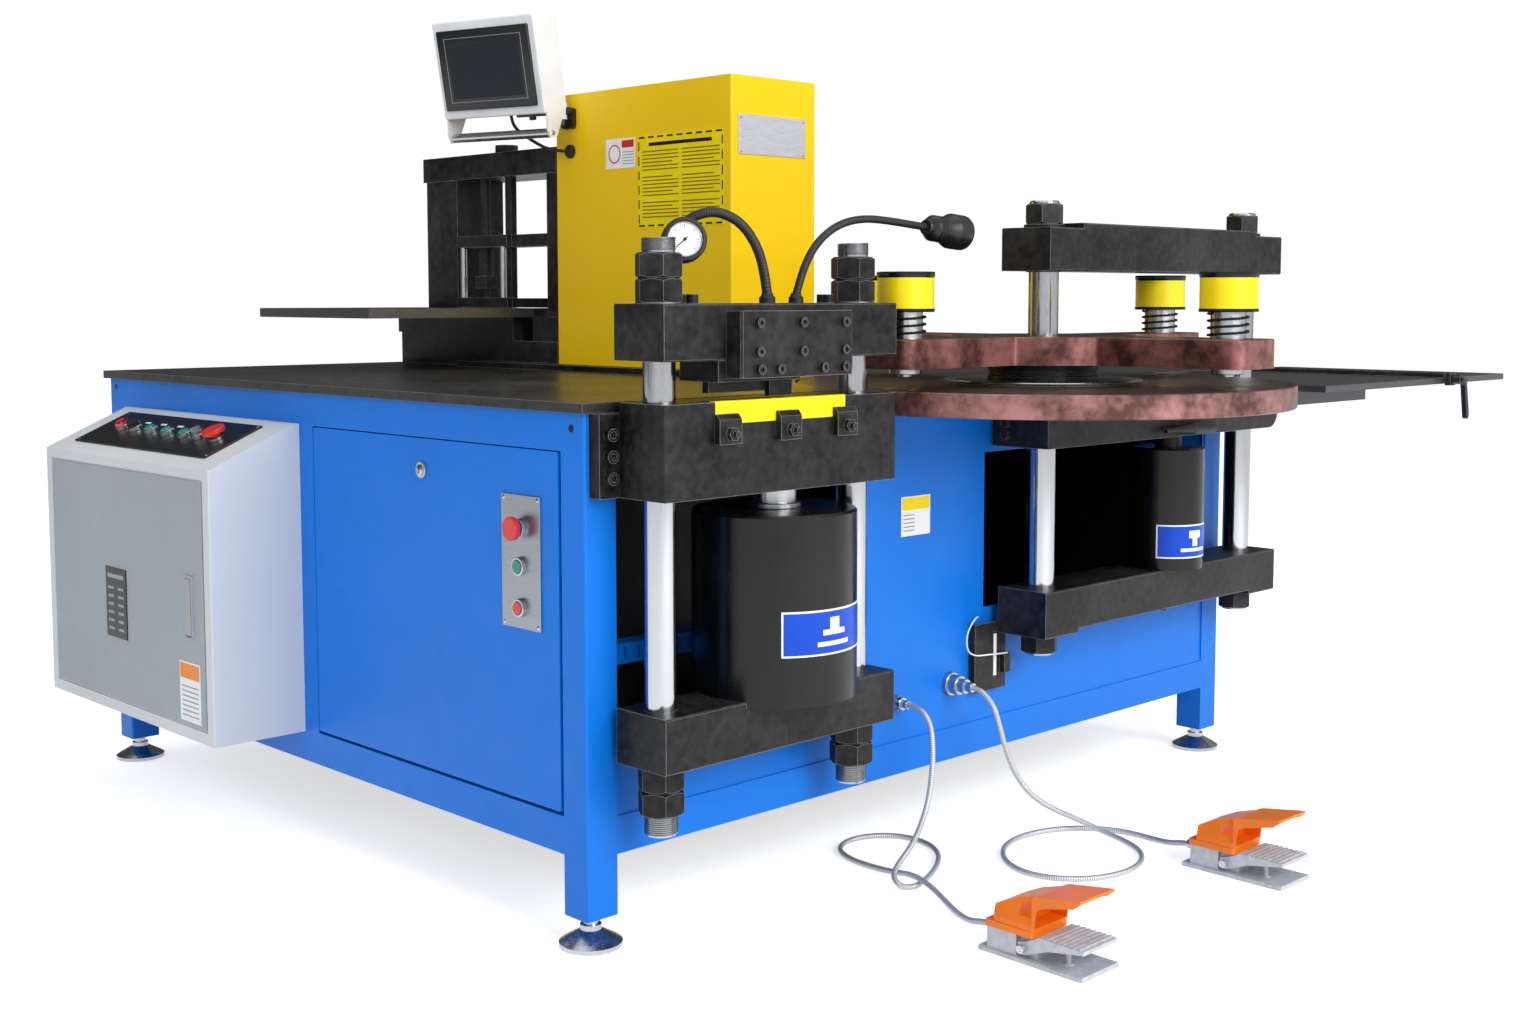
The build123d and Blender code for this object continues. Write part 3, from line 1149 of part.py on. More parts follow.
# Hydraulic unit inside the frame: tank, motor, pump and the motor's foot
with BuildPart() as hydraulic_unit:
    block(tank_x0, tank_x0 + 680.0, tank_y0, tank_y0 + 480.0, bottom_rail_z + 7.0, tank_top)
    fillet(hydraulic_unit.edges().filter_by(Axis.Z), 12.0)
    for start, length, radius in ((200.0, 240.0, 100.0), (440.0, 30.0, 66.0), (160.0, 40.0, 60.0)):
        with BuildSketch(Plane(origin=(tank_x0 + start, motor_y, motor_z), z_dir=(1, 0, 0))):
            Circle(radius)
        extrude(amount=length)
    block(tank_x0 + 260.0, tank_x0 + 380.0, motor_y - 40.0, motor_y + 40.0, tank_top - 5.0,
          tank_top + 40.0)
finish(hydraulic_unit.part, "hydraulic_unit")

# Foot pedals: base, cast body, moulded hood, ribbed treadle; each points to -Y
pedal_y = front_y - 408.0
pedal_spots = [(-404.0, pedal_y), (171.0, pedal_y)]
pedal_base_width = 96.0
pedal_base_length = 194.0
pedal_base_height = 8.0
pedal_width = 88.0
body_start = 14.0
body_end = 104.0
body_top = 42.0
pivot_s = 82.0
pivot_z = 23.0
treadle_start = 118.0
treadle_end = 193.0
treadle_z = 40.0
treadle_plate = 6.0
hood_wall = 3.0
hood_side = [(26, 51.9), (26, 78), (60, 94), (106, 108), (186, 120), (187, 116), (174, 106),
             (118, 93), (108, 88), (104, 78), (101, 51.9)]


def pedal_plane(spot, across):
    """The side view plane of a pedal: u runs from heel to toe, v is up."""
    return Plane(origin=(spot[0] + across, spot[1], 0), x_dir=(0, -1, 0), z_dir=(-1, 0, 0))


with BuildPart() as pedal_bodies:
    for px, py in pedal_spots:
        block(px - pedal_base_width / 2, px + pedal_base_width / 2, py - pedal_base_length, py,
              0.0, pedal_base_height)
        # Cast body, open towards the toe for the treadle arms
        block(px - pedal_width / 2 + 10, px + pedal_width / 2 - 10, py - body_end, py - body_start,
              pedal_base_height, body_top)
        block(px - pedal_width / 2, px + pedal_width / 2, py - body_end + 34, py - body_start,
              pedal_base_height, body_top)
        # Pivot bolt with round heads
        with BuildSketch(Plane(origin=(px + pedal_width / 2 - 10, py - pivot_s, pivot_z),
                               x_dir=(0, 1, 0), z_dir=(1, 0, 0))) as bolt:
            Circle(5.0)
        extrude(bolt.sketch, amount=16.0)
        with BuildSketch(Plane(origin=(px - pedal_width / 2 + 10, py - pivot_s, pivot_z),
                               x_dir=(0, 1, 0), z_dir=(-1, 0, 0))) as bolt:
            Circle(5.0)
        extrude(bolt.sketch, amount=16.0)
        # Gland at the heel
        with BuildSketch(Plane(origin=(px, py - body_start, 26.0), x_dir=(1, 0, 0),
                               z_dir=(0, 1, 0))) as gland:
            RegularPolygon(radius=9.5, side_count=6, major_radius=False)
        extrude(gland.sketch, amount=10.0)
        # Spring pin under the treadle
        post(px - 14.0, py - 146.0, pedal_base_height, 27.0, 8.0)
        post(px - 14.0, py - 146.0, pedal_base_height, pedal_base_height + 2.0, 16.0)
    for edge_z in (0.0, pedal_base_height):
        chamfer(pedal_bodies.edges().filter_by(Axis.Y).filter_by_position(
            Axis.Z, edge_z - 0.01, edge_z + 0.01).filter_by(lambda e: e.length > 190), 1.5)
finish(pedal_bodies.part, "pedal_bodies")

with BuildPart() as pedal_hoods:
    for spot in pedal_spots:
        px, py = spot
        # Flange that closes the cast body
        with BuildSketch(Plane.XY.offset(body_top)) as flange:
            with Locations((px, py - (body_start - 4 + body_end - 3) / 2)):
                RectangleRounded(pedal_width + 4, body_end - 3 - body_start + 4, 5.0)
        extrude(flange.sketch, amount=10.0)
        with BuildSketch(pedal_plane(spot, pedal_width / 2)) as shell:
            with BuildLine():
                Polyline(*hood_side, close=True)
            make_face()
        extrude(shell.sketch, amount=pedal_width)
    hood_outer = pedal_hoods.part
    # Sides taper towards the top of the heel
    for spot in pedal_spots:
        px, py = spot
        for side in (-1, 1):
            with BuildSketch(Plane(origin=(px + side * pedal_width / 2, py, 0), x_dir=(1, 0, 0),
                                   z_dir=(0, -1, 0))) as taper:
                with BuildLine():
                    Polyline((0, 60), (side * -16, 124), (side * 6, 124), (side * 6, 60), close=True)
                make_face()
            extrude(taper.sketch, amount=98.0, mode=Mode.SUBTRACT)
        # Hollow over the treadle, open towards the toe and below
        with BuildSketch(pedal_plane(spot, pedal_width / 2 - hood_wall)) as hollow:
            with BuildLine():
                Polyline((72, 56), (72, 88), (106, 103), (190, 116), (190, 56), close=True)
            make_face()
        extrude(hollow.sketch, amount=pedal_width - 2 * hood_wall, mode=Mode.SUBTRACT)
finish(pedal_hoods.part, "pedal_hoods")

rib_count = 7
for number, spot in enumerate(pedal_spots, start=1):
    px, py = spot
    with BuildPart() as treadle:
        block(px - pedal_width / 2, px + pedal_width / 2, py - treadle_end, py - treadle_start,
              treadle_z, treadle_z + treadle_plate)
        with BuildSketch(pedal_plane(spot, pedal_width / 2)) as web:
            with BuildLine():
                Polyline((pivot_s - 9, 16), (pivot_s + 4, 13), (treadle_start + 12, 30),
                         (treadle_end - 4, treadle_z), (treadle_start - 6, treadle_z + treadle_plate),
                         (pivot_s + 4, 34), (pivot_s - 9, 31), close=True)
            make_face()
        extrude(web.sketch, amount=8.0)
        with BuildSketch(pedal_plane(spot, -pedal_width / 2 + 8.0)) as web:
            with BuildLine():
                Polyline((pivot_s - 9, 16), (pivot_s + 4, 13), (treadle_start + 12, 30),
                         (treadle_end - 4, treadle_z), (treadle_start - 6, treadle_z + treadle_plate),
                         (pivot_s + 4, 34), (pivot_s - 9, 31), close=True)
            make_face()
        extrude(web.sketch, amount=8.0)
        block(px - pedal_width / 2, px + pedal_width / 2, py - treadle_start, py - treadle_start + 9,
              treadle_z - 4, treadle_z + treadle_plate)
        for i in range(rib_count):
            rib_y = py - treadle_start - 8.0 - i * 9.6
            block(px - pedal_width / 2 + 3, px + pedal_width / 2 - 3, rib_y - 2.2, rib_y + 2.2,
                  treadle_z + treadle_plate, treadle_z + treadle_plate + 2.5)
        with BuildSketch(Plane(origin=(px - pedal_width, py - pivot_s, pivot_z), x_dir=(0, 1, 0),
                               z_dir=(1, 0, 0))) as bore:
            Circle(5.0 + run_gap)
        extrude(bore.sketch, amount=2 * pedal_width, mode=Mode.SUBTRACT)
    finish(treadle.part, "pedal_treadle_" + str(number))

# Conduits from the front face to the pedals, and the lead of the operator panel
floor_z = cord_diameter / 2 + 0.2
gland_end_1 = gland_face - 32.0
gland_end_2 = gland_face - 57.0
pedal_gland_y = pedal_spots[0][1] - body_start + 10.0
cord_1 = [(gland_1_x, gland_end_1, gland_1_z), (gland_1_x, -877, gland_1_z), (-184, -903, 252),
          (-188, -911, 203), (-194, -914, 158), (-205, -914, 112), (-226, -914, 72),
          (-258, -918, 44), (-295, -926, 30), (-330, -942, 18), (-338, -968, 7),
          (-311, -981, floor_z), (-262, -965, floor_z), (-204, -936, floor_z),
          (-150, -897, floor_z), (-115, -844, floor_z), (-112, -784, floor_z),
          (-146, -738, floor_z), (-203, -722, floor_z), (-256, -744, floor_z),
          (-283, -794, floor_z), (-288, -851, floor_z), (-289, -905, 8),
          (-294, -960, 17), (-310, -1012, 13), (-333, -1062, 6), (-362, -1112, floor_z),
          (-391, -1162, 12), (-404, -1204, 26), (-404, pedal_gland_y, 26)]
cord_2 = [(gland_2_x, gland_end_2, gland_2_z), (gland_2_x, -893, gland_2_z), (-23, -916, 262),
          (-6, -917, 222), (10, -917, 180), (28, -921, 138), (52, -927, 99), (84, -937, 67),
          (120, -955, 43), (147, -988, 26), (160, -1035, 11), (155, -1092, floor_z),
          (122, -1146, floor_z), (66, -1181, floor_z), (2, -1188, floor_z),
          (-60, -1170, floor_z), (-107, -1126, floor_z), (-122, -1066, floor_z),
          (-98, -1005, floor_z), (-48, -958, floor_z), (15, -934, floor_z),
          (80, -936, floor_z), (140, -960, floor_z), (185, -1004, floor_z),
          (207, -1060, floor_z), (204, -1116, floor_z), (184, -1164, 13),
          (171, -1204, 26), (171, pedal_gland_y, 26)]
lead_diameter = 7.0
lead_start = hmi_face.from_local_coords((10.0, -hmi_height / 2, -45.0))
lead_second = hmi_face.from_local_coords((10.0, -hmi_height / 2 - 18.0, -45.0))
lead = [(lead_start.X, lead_start.Y, lead_start.Z), (lead_second.X, lead_second.Y, lead_second.Z),
        (-239, 229, 1368), (-227, 212, 1353), (-217, 188, 1338), (-212, 160, 1326),
        (-204, grommet_y, grommet_z), (cover_x0 - 7.0, grommet_y, grommet_z)]
for name, route, diameter in (("foot_cord_1", cord_1, cord_diameter),
                              ("foot_cord_2", cord_2, cord_diameter),
                              ("hmi_lead", lead, lead_diameter)):
    with BuildPart() as cord:
        tube_along(route, diameter, name)
    finish(cord.part, name)
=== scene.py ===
import math

import bmesh
import bpy
from mathutils import Matrix, Vector


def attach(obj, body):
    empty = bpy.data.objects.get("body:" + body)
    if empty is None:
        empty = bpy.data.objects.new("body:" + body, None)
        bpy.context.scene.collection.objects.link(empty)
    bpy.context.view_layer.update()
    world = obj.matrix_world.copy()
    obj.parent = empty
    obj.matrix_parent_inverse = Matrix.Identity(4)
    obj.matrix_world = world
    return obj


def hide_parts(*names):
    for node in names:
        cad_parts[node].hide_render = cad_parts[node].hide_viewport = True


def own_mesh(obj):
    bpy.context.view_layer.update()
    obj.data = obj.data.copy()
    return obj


# Busbar processing machine. Everything is in metres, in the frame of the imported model:
# floor at z = 0, the front faces -Y, +X along the front.
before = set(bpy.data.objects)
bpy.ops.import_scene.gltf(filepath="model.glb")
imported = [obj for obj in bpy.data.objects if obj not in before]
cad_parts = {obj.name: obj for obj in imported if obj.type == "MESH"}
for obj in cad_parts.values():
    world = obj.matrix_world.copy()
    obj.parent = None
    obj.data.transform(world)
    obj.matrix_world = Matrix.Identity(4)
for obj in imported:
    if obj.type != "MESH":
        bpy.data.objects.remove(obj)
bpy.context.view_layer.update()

MM = 0.001
WHITE = (1.0, 1.0, 1.0, 1.0)
FLOOR_LEVEL = -0.0005
FLOOR_GLOW = 0.62
# Radius of the rounded normal behind the paler edges: edge wear and painted highlight
WEAR_AND_HIGHLIGHT_EDGE = 0.0016
SHARP_EDGE = math.radians(32.0)


# Nodes: a value is a number, a colour or another node's output
def feed(tree, socket, value):
    if isinstance(value, (float, tuple)):
        socket.default_value = value
    else:
        tree.links.new(value, socket)


def maths(tree, operation, *values):
    node = tree.nodes.new("ShaderNodeMath")
    node.operation = operation
    for socket, value in zip(node.inputs, values):
        feed(tree, socket, value)
    return node.outputs[0]


def facing(tree, first, second):
    """How far one direction points along another: their dot product."""
    node = tree.nodes.new("ShaderNodeVectorMath")
    node.operation = "DOT_PRODUCT"
    feed(tree, node.inputs[0], first)
    feed(tree, node.inputs[1], second)
    return node.outputs["Value"]


def spread(tree, source, start, end):
    """A number field carried from one range to another, each a pair of numbers."""
    node = tree.nodes.new("ShaderNodeMapRange")
    for name, value in zip(("From Min", "From Max", "To Min", "To Max"), (*start, *end)):
        node.inputs[name].default_value = value
    tree.links.new(source, node.inputs["Value"])
    return node.outputs["Result"]


def split(tree, vector):
    """The X, Y and Z of a place or a map."""
    node = tree.nodes.new("ShaderNodeSeparateXYZ")
    tree.links.new(vector, node.inputs[0])
    return node.outputs


def new_object(name, data):
    item = bpy.data.objects.new(name, data)
    bpy.context.collection.objects.link(item)
    return item


# Camera, floor and light
def build_camera():
    data = bpy.data.cameras.new("view")
    data.sensor_width = 36.0
    data.lens = 41.14
    data.shift_y = -0.0469
    data.clip_end = 60.0
    cam = new_object("view", data)
    cam.location = (-2.53994, -2.89204, 1.00865)
    cam.rotation_euler = (math.radians(90.0 - 4.656), 0.0, math.radians(-44.43))
    scene = bpy.context.scene
    scene.camera = cam
    scene.render.film_transparent = False
    scene.view_settings.view_transform = "Standard"


def build_floor():
    bm = bmesh.new()
    bmesh.ops.create_grid(bm, x_segments=1, y_segments=1, size=14.0)
    floor = add_piece("studio_floor", bm, floor_paint())
    for vertex in floor.data.vertices:
        vertex.co.z = FLOOR_LEVEL


def area_light(name, place, target, size, power):
    data = bpy.data.lights.new(name, "AREA")
    data.shape = "RECTANGLE"
    data.size, data.size_y = size
    data.energy = power
    lamp = new_object(name, data)
    lamp.location = place
    aim = Vector(target) - Vector(place)
    lamp.rotation_euler = aim.to_track_quat("-Z", "Y").to_euler()
    return lamp


def build_light():
    area_light("key_softbox", (-0.2, -5.6, 2.9), (0.2, -0.4, 0.6), (4.0, 2.8), 235.0)
    left = area_light("left_softbox", (-5.4, -1.0, 2.6), (-0.6, 0.0, 0.6), (3.4, 2.4), 44.0)
    left.visible_glossy = False
    area_light("overhead", (0.2, 0.0, 5.0), (0.2, 0.0, 0.6), (4.5, 4.5), 70.0)
    world = bpy.data.worlds.new("studio")
    bpy.context.scene.world = world
    world.use_nodes = True
    tree = world.node_tree
    tree.nodes.clear()
    # White to the eye, and in metal bright from the front and dim from behind
    path = tree.nodes.new("ShaderNodeLightPath").outputs
    seen = maths(tree, "MAXIMUM", path["Is Camera Ray"], path["Is Transmission Ray"])
    white_seen = maths(tree, "MAXIMUM", seen, path["Is Glossy Ray"])
    direction = tree.nodes.new("ShaderNodeTexCoord").outputs["Generated"]
    flag = spread(tree, facing(tree, direction, (0.1, 0.95, -0.1)), (-0.5, 0.45), (0.85, 0.08))
    mix = tree.nodes.new("ShaderNodeMixShader")
    tree.links.new(white_seen, mix.inputs[0])
    for socket, colour, strength in (
            (mix.inputs[1], (0.98, 0.99, 1.0, 1.0), 0.5),
            (mix.inputs[2], WHITE, maths(tree, "MAXIMUM", flag, seen))):
        backdrop = tree.nodes.new("ShaderNodeBackground")
        feed(tree, backdrop.inputs["Color"], colour)
        feed(tree, backdrop.inputs["Strength"], strength)
        tree.links.new(backdrop.outputs[0], socket)
    out = tree.nodes.new("ShaderNodeOutputWorld")
    tree.links.new(mix.outputs[0], out.inputs["Surface"])


# Materials
def srgb(red, green, blue):
    """A colour given as 0 to 255 screen values, as the shader wants it."""
    linear = []
    for value in (red, green, blue):
        v = value / 255.0
        linear.append(v / 12.92 if v <= 0.04045 else ((v + 0.055) / 1.055) ** 2.4)
    return (*linear, 1.0)


def new_material(name):
    material = bpy.data.materials.new(name)
    material.use_nodes = True
    tree = material.node_tree
    shader = tree.nodes["Principled BSDF"]
    coords = tree.nodes.new("ShaderNodeTexCoord")
    return material, tree, shader, coords


def noise(tree, coords, scale, detail=4.0, stretch=(1.0, 1.0, 1.0)):
    """A noise field on Object coordinates, stretched along the axes that it is told."""
    mapping = tree.nodes.new("ShaderNodeMapping")
    mapping.inputs["Scale"].default_value = stretch
    tree.links.new(coords.outputs["Object"], mapping.inputs["Vector"])
    field = tree.nodes.new("ShaderNodeTexNoise")
    field.inputs["Scale"].default_value = scale
    field.inputs["Detail"].default_value = detail
    tree.links.new(mapping.outputs["Vector"], field.inputs["Vector"])
    return field.outputs["Fac"]


def ramp(tree, source, low, high, at=(0.3, 0.7)):
    """A colour ramp from one colour to another."""
    node = tree.nodes.new("ShaderNodeValToRGB")
    node.color_ramp.elements[0].position = at[0]
    node.color_ramp.elements[0].color = low
    node.color_ramp.elements[1].position = at[1]
    node.color_ramp.elements[1].color = high
    tree.links.new(source, node.inputs["Fac"])
    return node.outputs["Color"]


def span(tree, source, low, high):
    """The middle of a noise field spread between two values."""
    return spread(tree, source, (0.3, 0.7), (low, high))


def bump(tree, shader, source, strength, distance):
    node = tree.nodes.new("ShaderNodeBump")
    node.inputs["Strength"].default_value = strength
    node.inputs["Distance"].default_value = distance
    tree.links.new(source, node.inputs["Height"])
    tree.links.new(node.outputs["Normal"], shader.inputs["Normal"])


def mixed(tree, share, first, second):
    """One colour output from two, by a share."""
    node = tree.nodes.new("ShaderNodeMix")
    node.data_type = "RGBA"
    tree.links.new(share, node.inputs[0])
    feed(tree, node.inputs[6], first)
    feed(tree, node.inputs[7], second)
    return node.outputs[2]


def blended(tree, first, second, share):
    """Two number fields in one, the second by a share."""
    rest = maths(tree, "MULTIPLY", first, 1.0 - share)
    return maths(tree, "MULTIPLY_ADD", second, share, rest)


def scaled(colour, factor):
    return tuple(min(1.0, c * factor) for c in colour[:3]) + (1.0,)


def edge_wear_and_highlight(tree, amount):
    """A share that rises on edges, for edge wear and a painted highlight along edges: how far a
    rounded normal leans from the true one.
    """
    rounded = tree.nodes.new("ShaderNodeBevel")
    rounded.samples = 3
    rounded.inputs["Radius"].default_value = WEAR_AND_HIGHLIGHT_EDGE
    true = tree.nodes.new("ShaderNodeNewGeometry")
    lean = facing(tree, rounded.outputs["Normal"], true.outputs["Normal"])
    return spread(tree, lean, (0.98, 0.8), (0.0, amount))


def inside_shade_mask(tree, coords):
    """One inside the sheets of the frame, where the colour takes painted shade, zero on their
    faces and on the wire duct.
    """
    place = split(tree, coords.outputs["Object"])
    within = [maths(tree, "LESS_THAN", maths(tree, "ABSOLUTE", place[axis]), reach)
              for axis, reach in (("X", 0.8915), ("Y", 0.8155))]
    duct = maths(tree, "MULTIPLY", maths(tree, "COMPARE", place["Z"], 0.419, 0.0176),
                 maths(tree, "LESS_THAN", place["X"], -0.2))
    return maths(tree, "MULTIPLY", maths(tree, "MULTIPLY", *within),
                 maths(tree, "SUBTRACT", 1.0, duct))


def set_shader(tree, shader, values):
    for name, value in values.items():
        feed(tree, shader.inputs[name], value)


def ribbed(name, colour, count, metallic, rough):
    """A ribbed or braided sheath: the ribs run round, counted along the piece's own map."""
    material, tree, shader, coords = new_material(name)
    turns = maths(tree, "MULTIPLY", split(tree, coords.outputs["UV"])["X"], count * math.tau)
    level = spread(tree, maths(tree, "SINE", turns), (-1.0, 1.0), (0.0, 1.0))
    # The colour is darker in the grooves and paler on the crests: painted shade and highlight.
    shade = ramp(tree, level, scaled(colour, 0.55), scaled(colour, 1.15), (0.1, 0.6))
    set_shader(tree, shader, {"Base Color": shade, "Roughness": rough, "Metallic": metallic})
    bump(tree, shader, level, 0.6, 0.0008)
    return material


def powder_coat(name, colour, rough=0.42, depth=0.12):
    """Sprayed paint: faint orange peel, a slow drift of tone and a painted highlight on the edges.
    """
    material, tree, shader, coords = new_material(name)
    shade = ramp(tree, noise(tree, coords, 2.2, 3.0), scaled(colour, 0.95), scaled(colour, 1.05))
    # The edges are mixed to a much paler colour: a painted highlight.
    set_shader(tree, shader, {
        "Base Color": mixed(tree, edge_wear_and_highlight(tree, 0.55), shade, scaled(colour, 1.9)),
        "Roughness": span(tree, noise(tree, coords, 34.0), rough - 0.05, rough + 0.06),
        "Specular IOR Level": 0.3})
    bump(tree, shader, noise(tree, coords, 520.0, 2.0), depth, 0.0004)
    return material


def sheet_coat(name, colour, inner):
    """The sheets of the frame: sprayed outside, and inside a near-black painted shade where the
    interior lies unlit.
    """
    material = powder_coat(name, colour)
    tree = material.node_tree
    base = tree.nodes["Principled BSDF"].inputs["Base Color"]
    coords = next(node for node in tree.nodes if node.bl_idname == "ShaderNodeTexCoord")
    outside = base.links[0].from_socket
    # Inside the frame the colour is mixed to near black: painted shade.
    tree.links.new(mixed(tree, inside_shade_mask(tree, coords), outside, inner), base)
    return material


def turret_steel(name, top, side_dark, side_light, shaded_top_dark, shaded_top_light):
    """Heat-browned steel: blotched maroon edges, and above one height a greyer top whose darkness
    is painted shade for the dark reflection on it.
    """
    material, tree, shader, coords = new_material(name)
    fine = noise(tree, coords, 75.0, 6.0)
    both = blended(tree, noise(tree, coords, 13.0, 8.0), fine, 0.3)
    side = ramp(tree, both, side_dark, side_light, (0.38, 0.62))
    face = ramp(tree, fine, shaded_top_dark, shaded_top_light)
    # Above the given height the top faces take a darker colour: painted shade.
    painted_shade_top = maths(tree, "GREATER_THAN", split(tree, coords.outputs["Object"])["Z"], top)
    set_shader(tree, shader, {"Base Color": mixed(tree, painted_shade_top, side, face),
                              "Roughness": span(tree, both, 0.3, 0.48), "Metallic": 0.55})
    bump(tree, shader, fine, 0.08, 0.0003)
    return material


def blued_steel(name, dark, light, rough, metallic, grain=(1.0, 1.0, 1.0), depth=0.1,
                patch_scale=9.0, shine=0.22, wear_and_highlight=0.0):
    """Oiled or blued steel: cloudy patches, fine rubbed marks and uneven gloss."""
    material, tree, shader, coords = new_material(name)
    rubbed = noise(tree, coords, 60.0, 6.0, grain)
    both = blended(tree, noise(tree, coords, patch_scale, 7.0), rubbed, 0.45)
    face = ramp(tree, both, dark, light, (0.38, 0.66))
    # Paler edges: partly edge wear, partly a painted highlight.
    if wear_and_highlight > 0.0:
        face = mixed(tree, edge_wear_and_highlight(tree, wear_and_highlight), face, srgb(176, 176, 176))
    set_shader(tree, shader, {
        "Base Color": face, "Roughness": span(tree, both, rough - 0.09, rough + 0.1),
        "Metallic": metallic, "Specular IOR Level": shine})
    bump(tree, shader, rubbed, depth, 0.0003)
    return material


def ground_steel(name, colour, rough, grain, depth=0.06, metallic=1.0, contrast=0.18):
    """Bright machined steel with fine lines along one direction."""
    material, tree, shader, coords = new_material(name)
    lines = noise(tree, coords, 90.0, 5.0, grain)
    shade = ramp(tree, lines, scaled(colour, 1.0 - contrast), scaled(colour, 1.0 + contrast / 2))
    set_shader(tree, shader, {
        "Base Color": shade, "Roughness": span(tree, lines, rough - 0.05, rough + 0.08),
        "Metallic": metallic})
    bump(tree, shader, lines, depth, 0.0002)
    return material


def moulded(name, colour, rough, grain, coat=0.0):
    """Moulded plastic or rubber with a fine spark-eroded grain."""
    material, tree, shader, coords = new_material(name)
    shade = ramp(tree, noise(tree, coords, 14.0, 3.0), scaled(colour, 0.93), scaled(colour, 1.05))
    set_shader(tree, shader, {
        "Base Color": shade,
        "Roughness": span(tree, noise(tree, coords, 120.0), rough - 0.04, rough + 0.06),
        "Coat Weight": coat})
    bump(tree, shader, noise(tree, coords, 900.0, 2.0), grain, 0.0002)
    return material


def glossy_print(name, colour, rough=0.3):
    """Printed film: an even ink with a faint unevenness under a clear face."""
    material = moulded(name, colour, rough, 0.015)
    shader = material.node_tree.nodes["Principled BSDF"]
    shader.inputs["Specular IOR Level"].default_value = 0.25
    return material


def floor_paint():
    """The studio floor: white to the eye, and it still takes the shadow."""
    material, tree, shader, coords = new_material("studio_floor_paint")
    tone = ramp(tree, noise(tree, coords, 0.8, 2.0), (0.86, 0.86, 0.87, 1.0),
                (0.88, 0.88, 0.89, 1.0))
    path = tree.nodes.new("ShaderNodeLightPath").outputs
    seen = maths(tree, "MAXIMUM", path["Is Camera Ray"], path["Is Glossy Ray"])
    set_shader(tree, shader, {
        "Base Color": tone, "Roughness": 0.9, "Specular IOR Level": 0.0,
        "Emission Color": WHITE, "Emission Strength": maths(tree, "MULTIPLY", seen, FLOOR_GLOW)})
    return material


# Mesh helpers
def add_piece(name, bm, material, smooth=False):
    """Finish a bmesh as an object at the origin."""
    bmesh.ops.recalc_face_normals(bm, faces=bm.faces)
    mesh = bpy.data.meshes.new(name)
    bm.to_mesh(mesh)
    bm.free()
    piece = new_object(name, mesh)
    mesh.materials.append(material)
    if smooth:
        mesh.shade_smooth()
        mesh.set_sharp_from_angle(angle=SHARP_EDGE)
    return piece


MATERIALS = {}


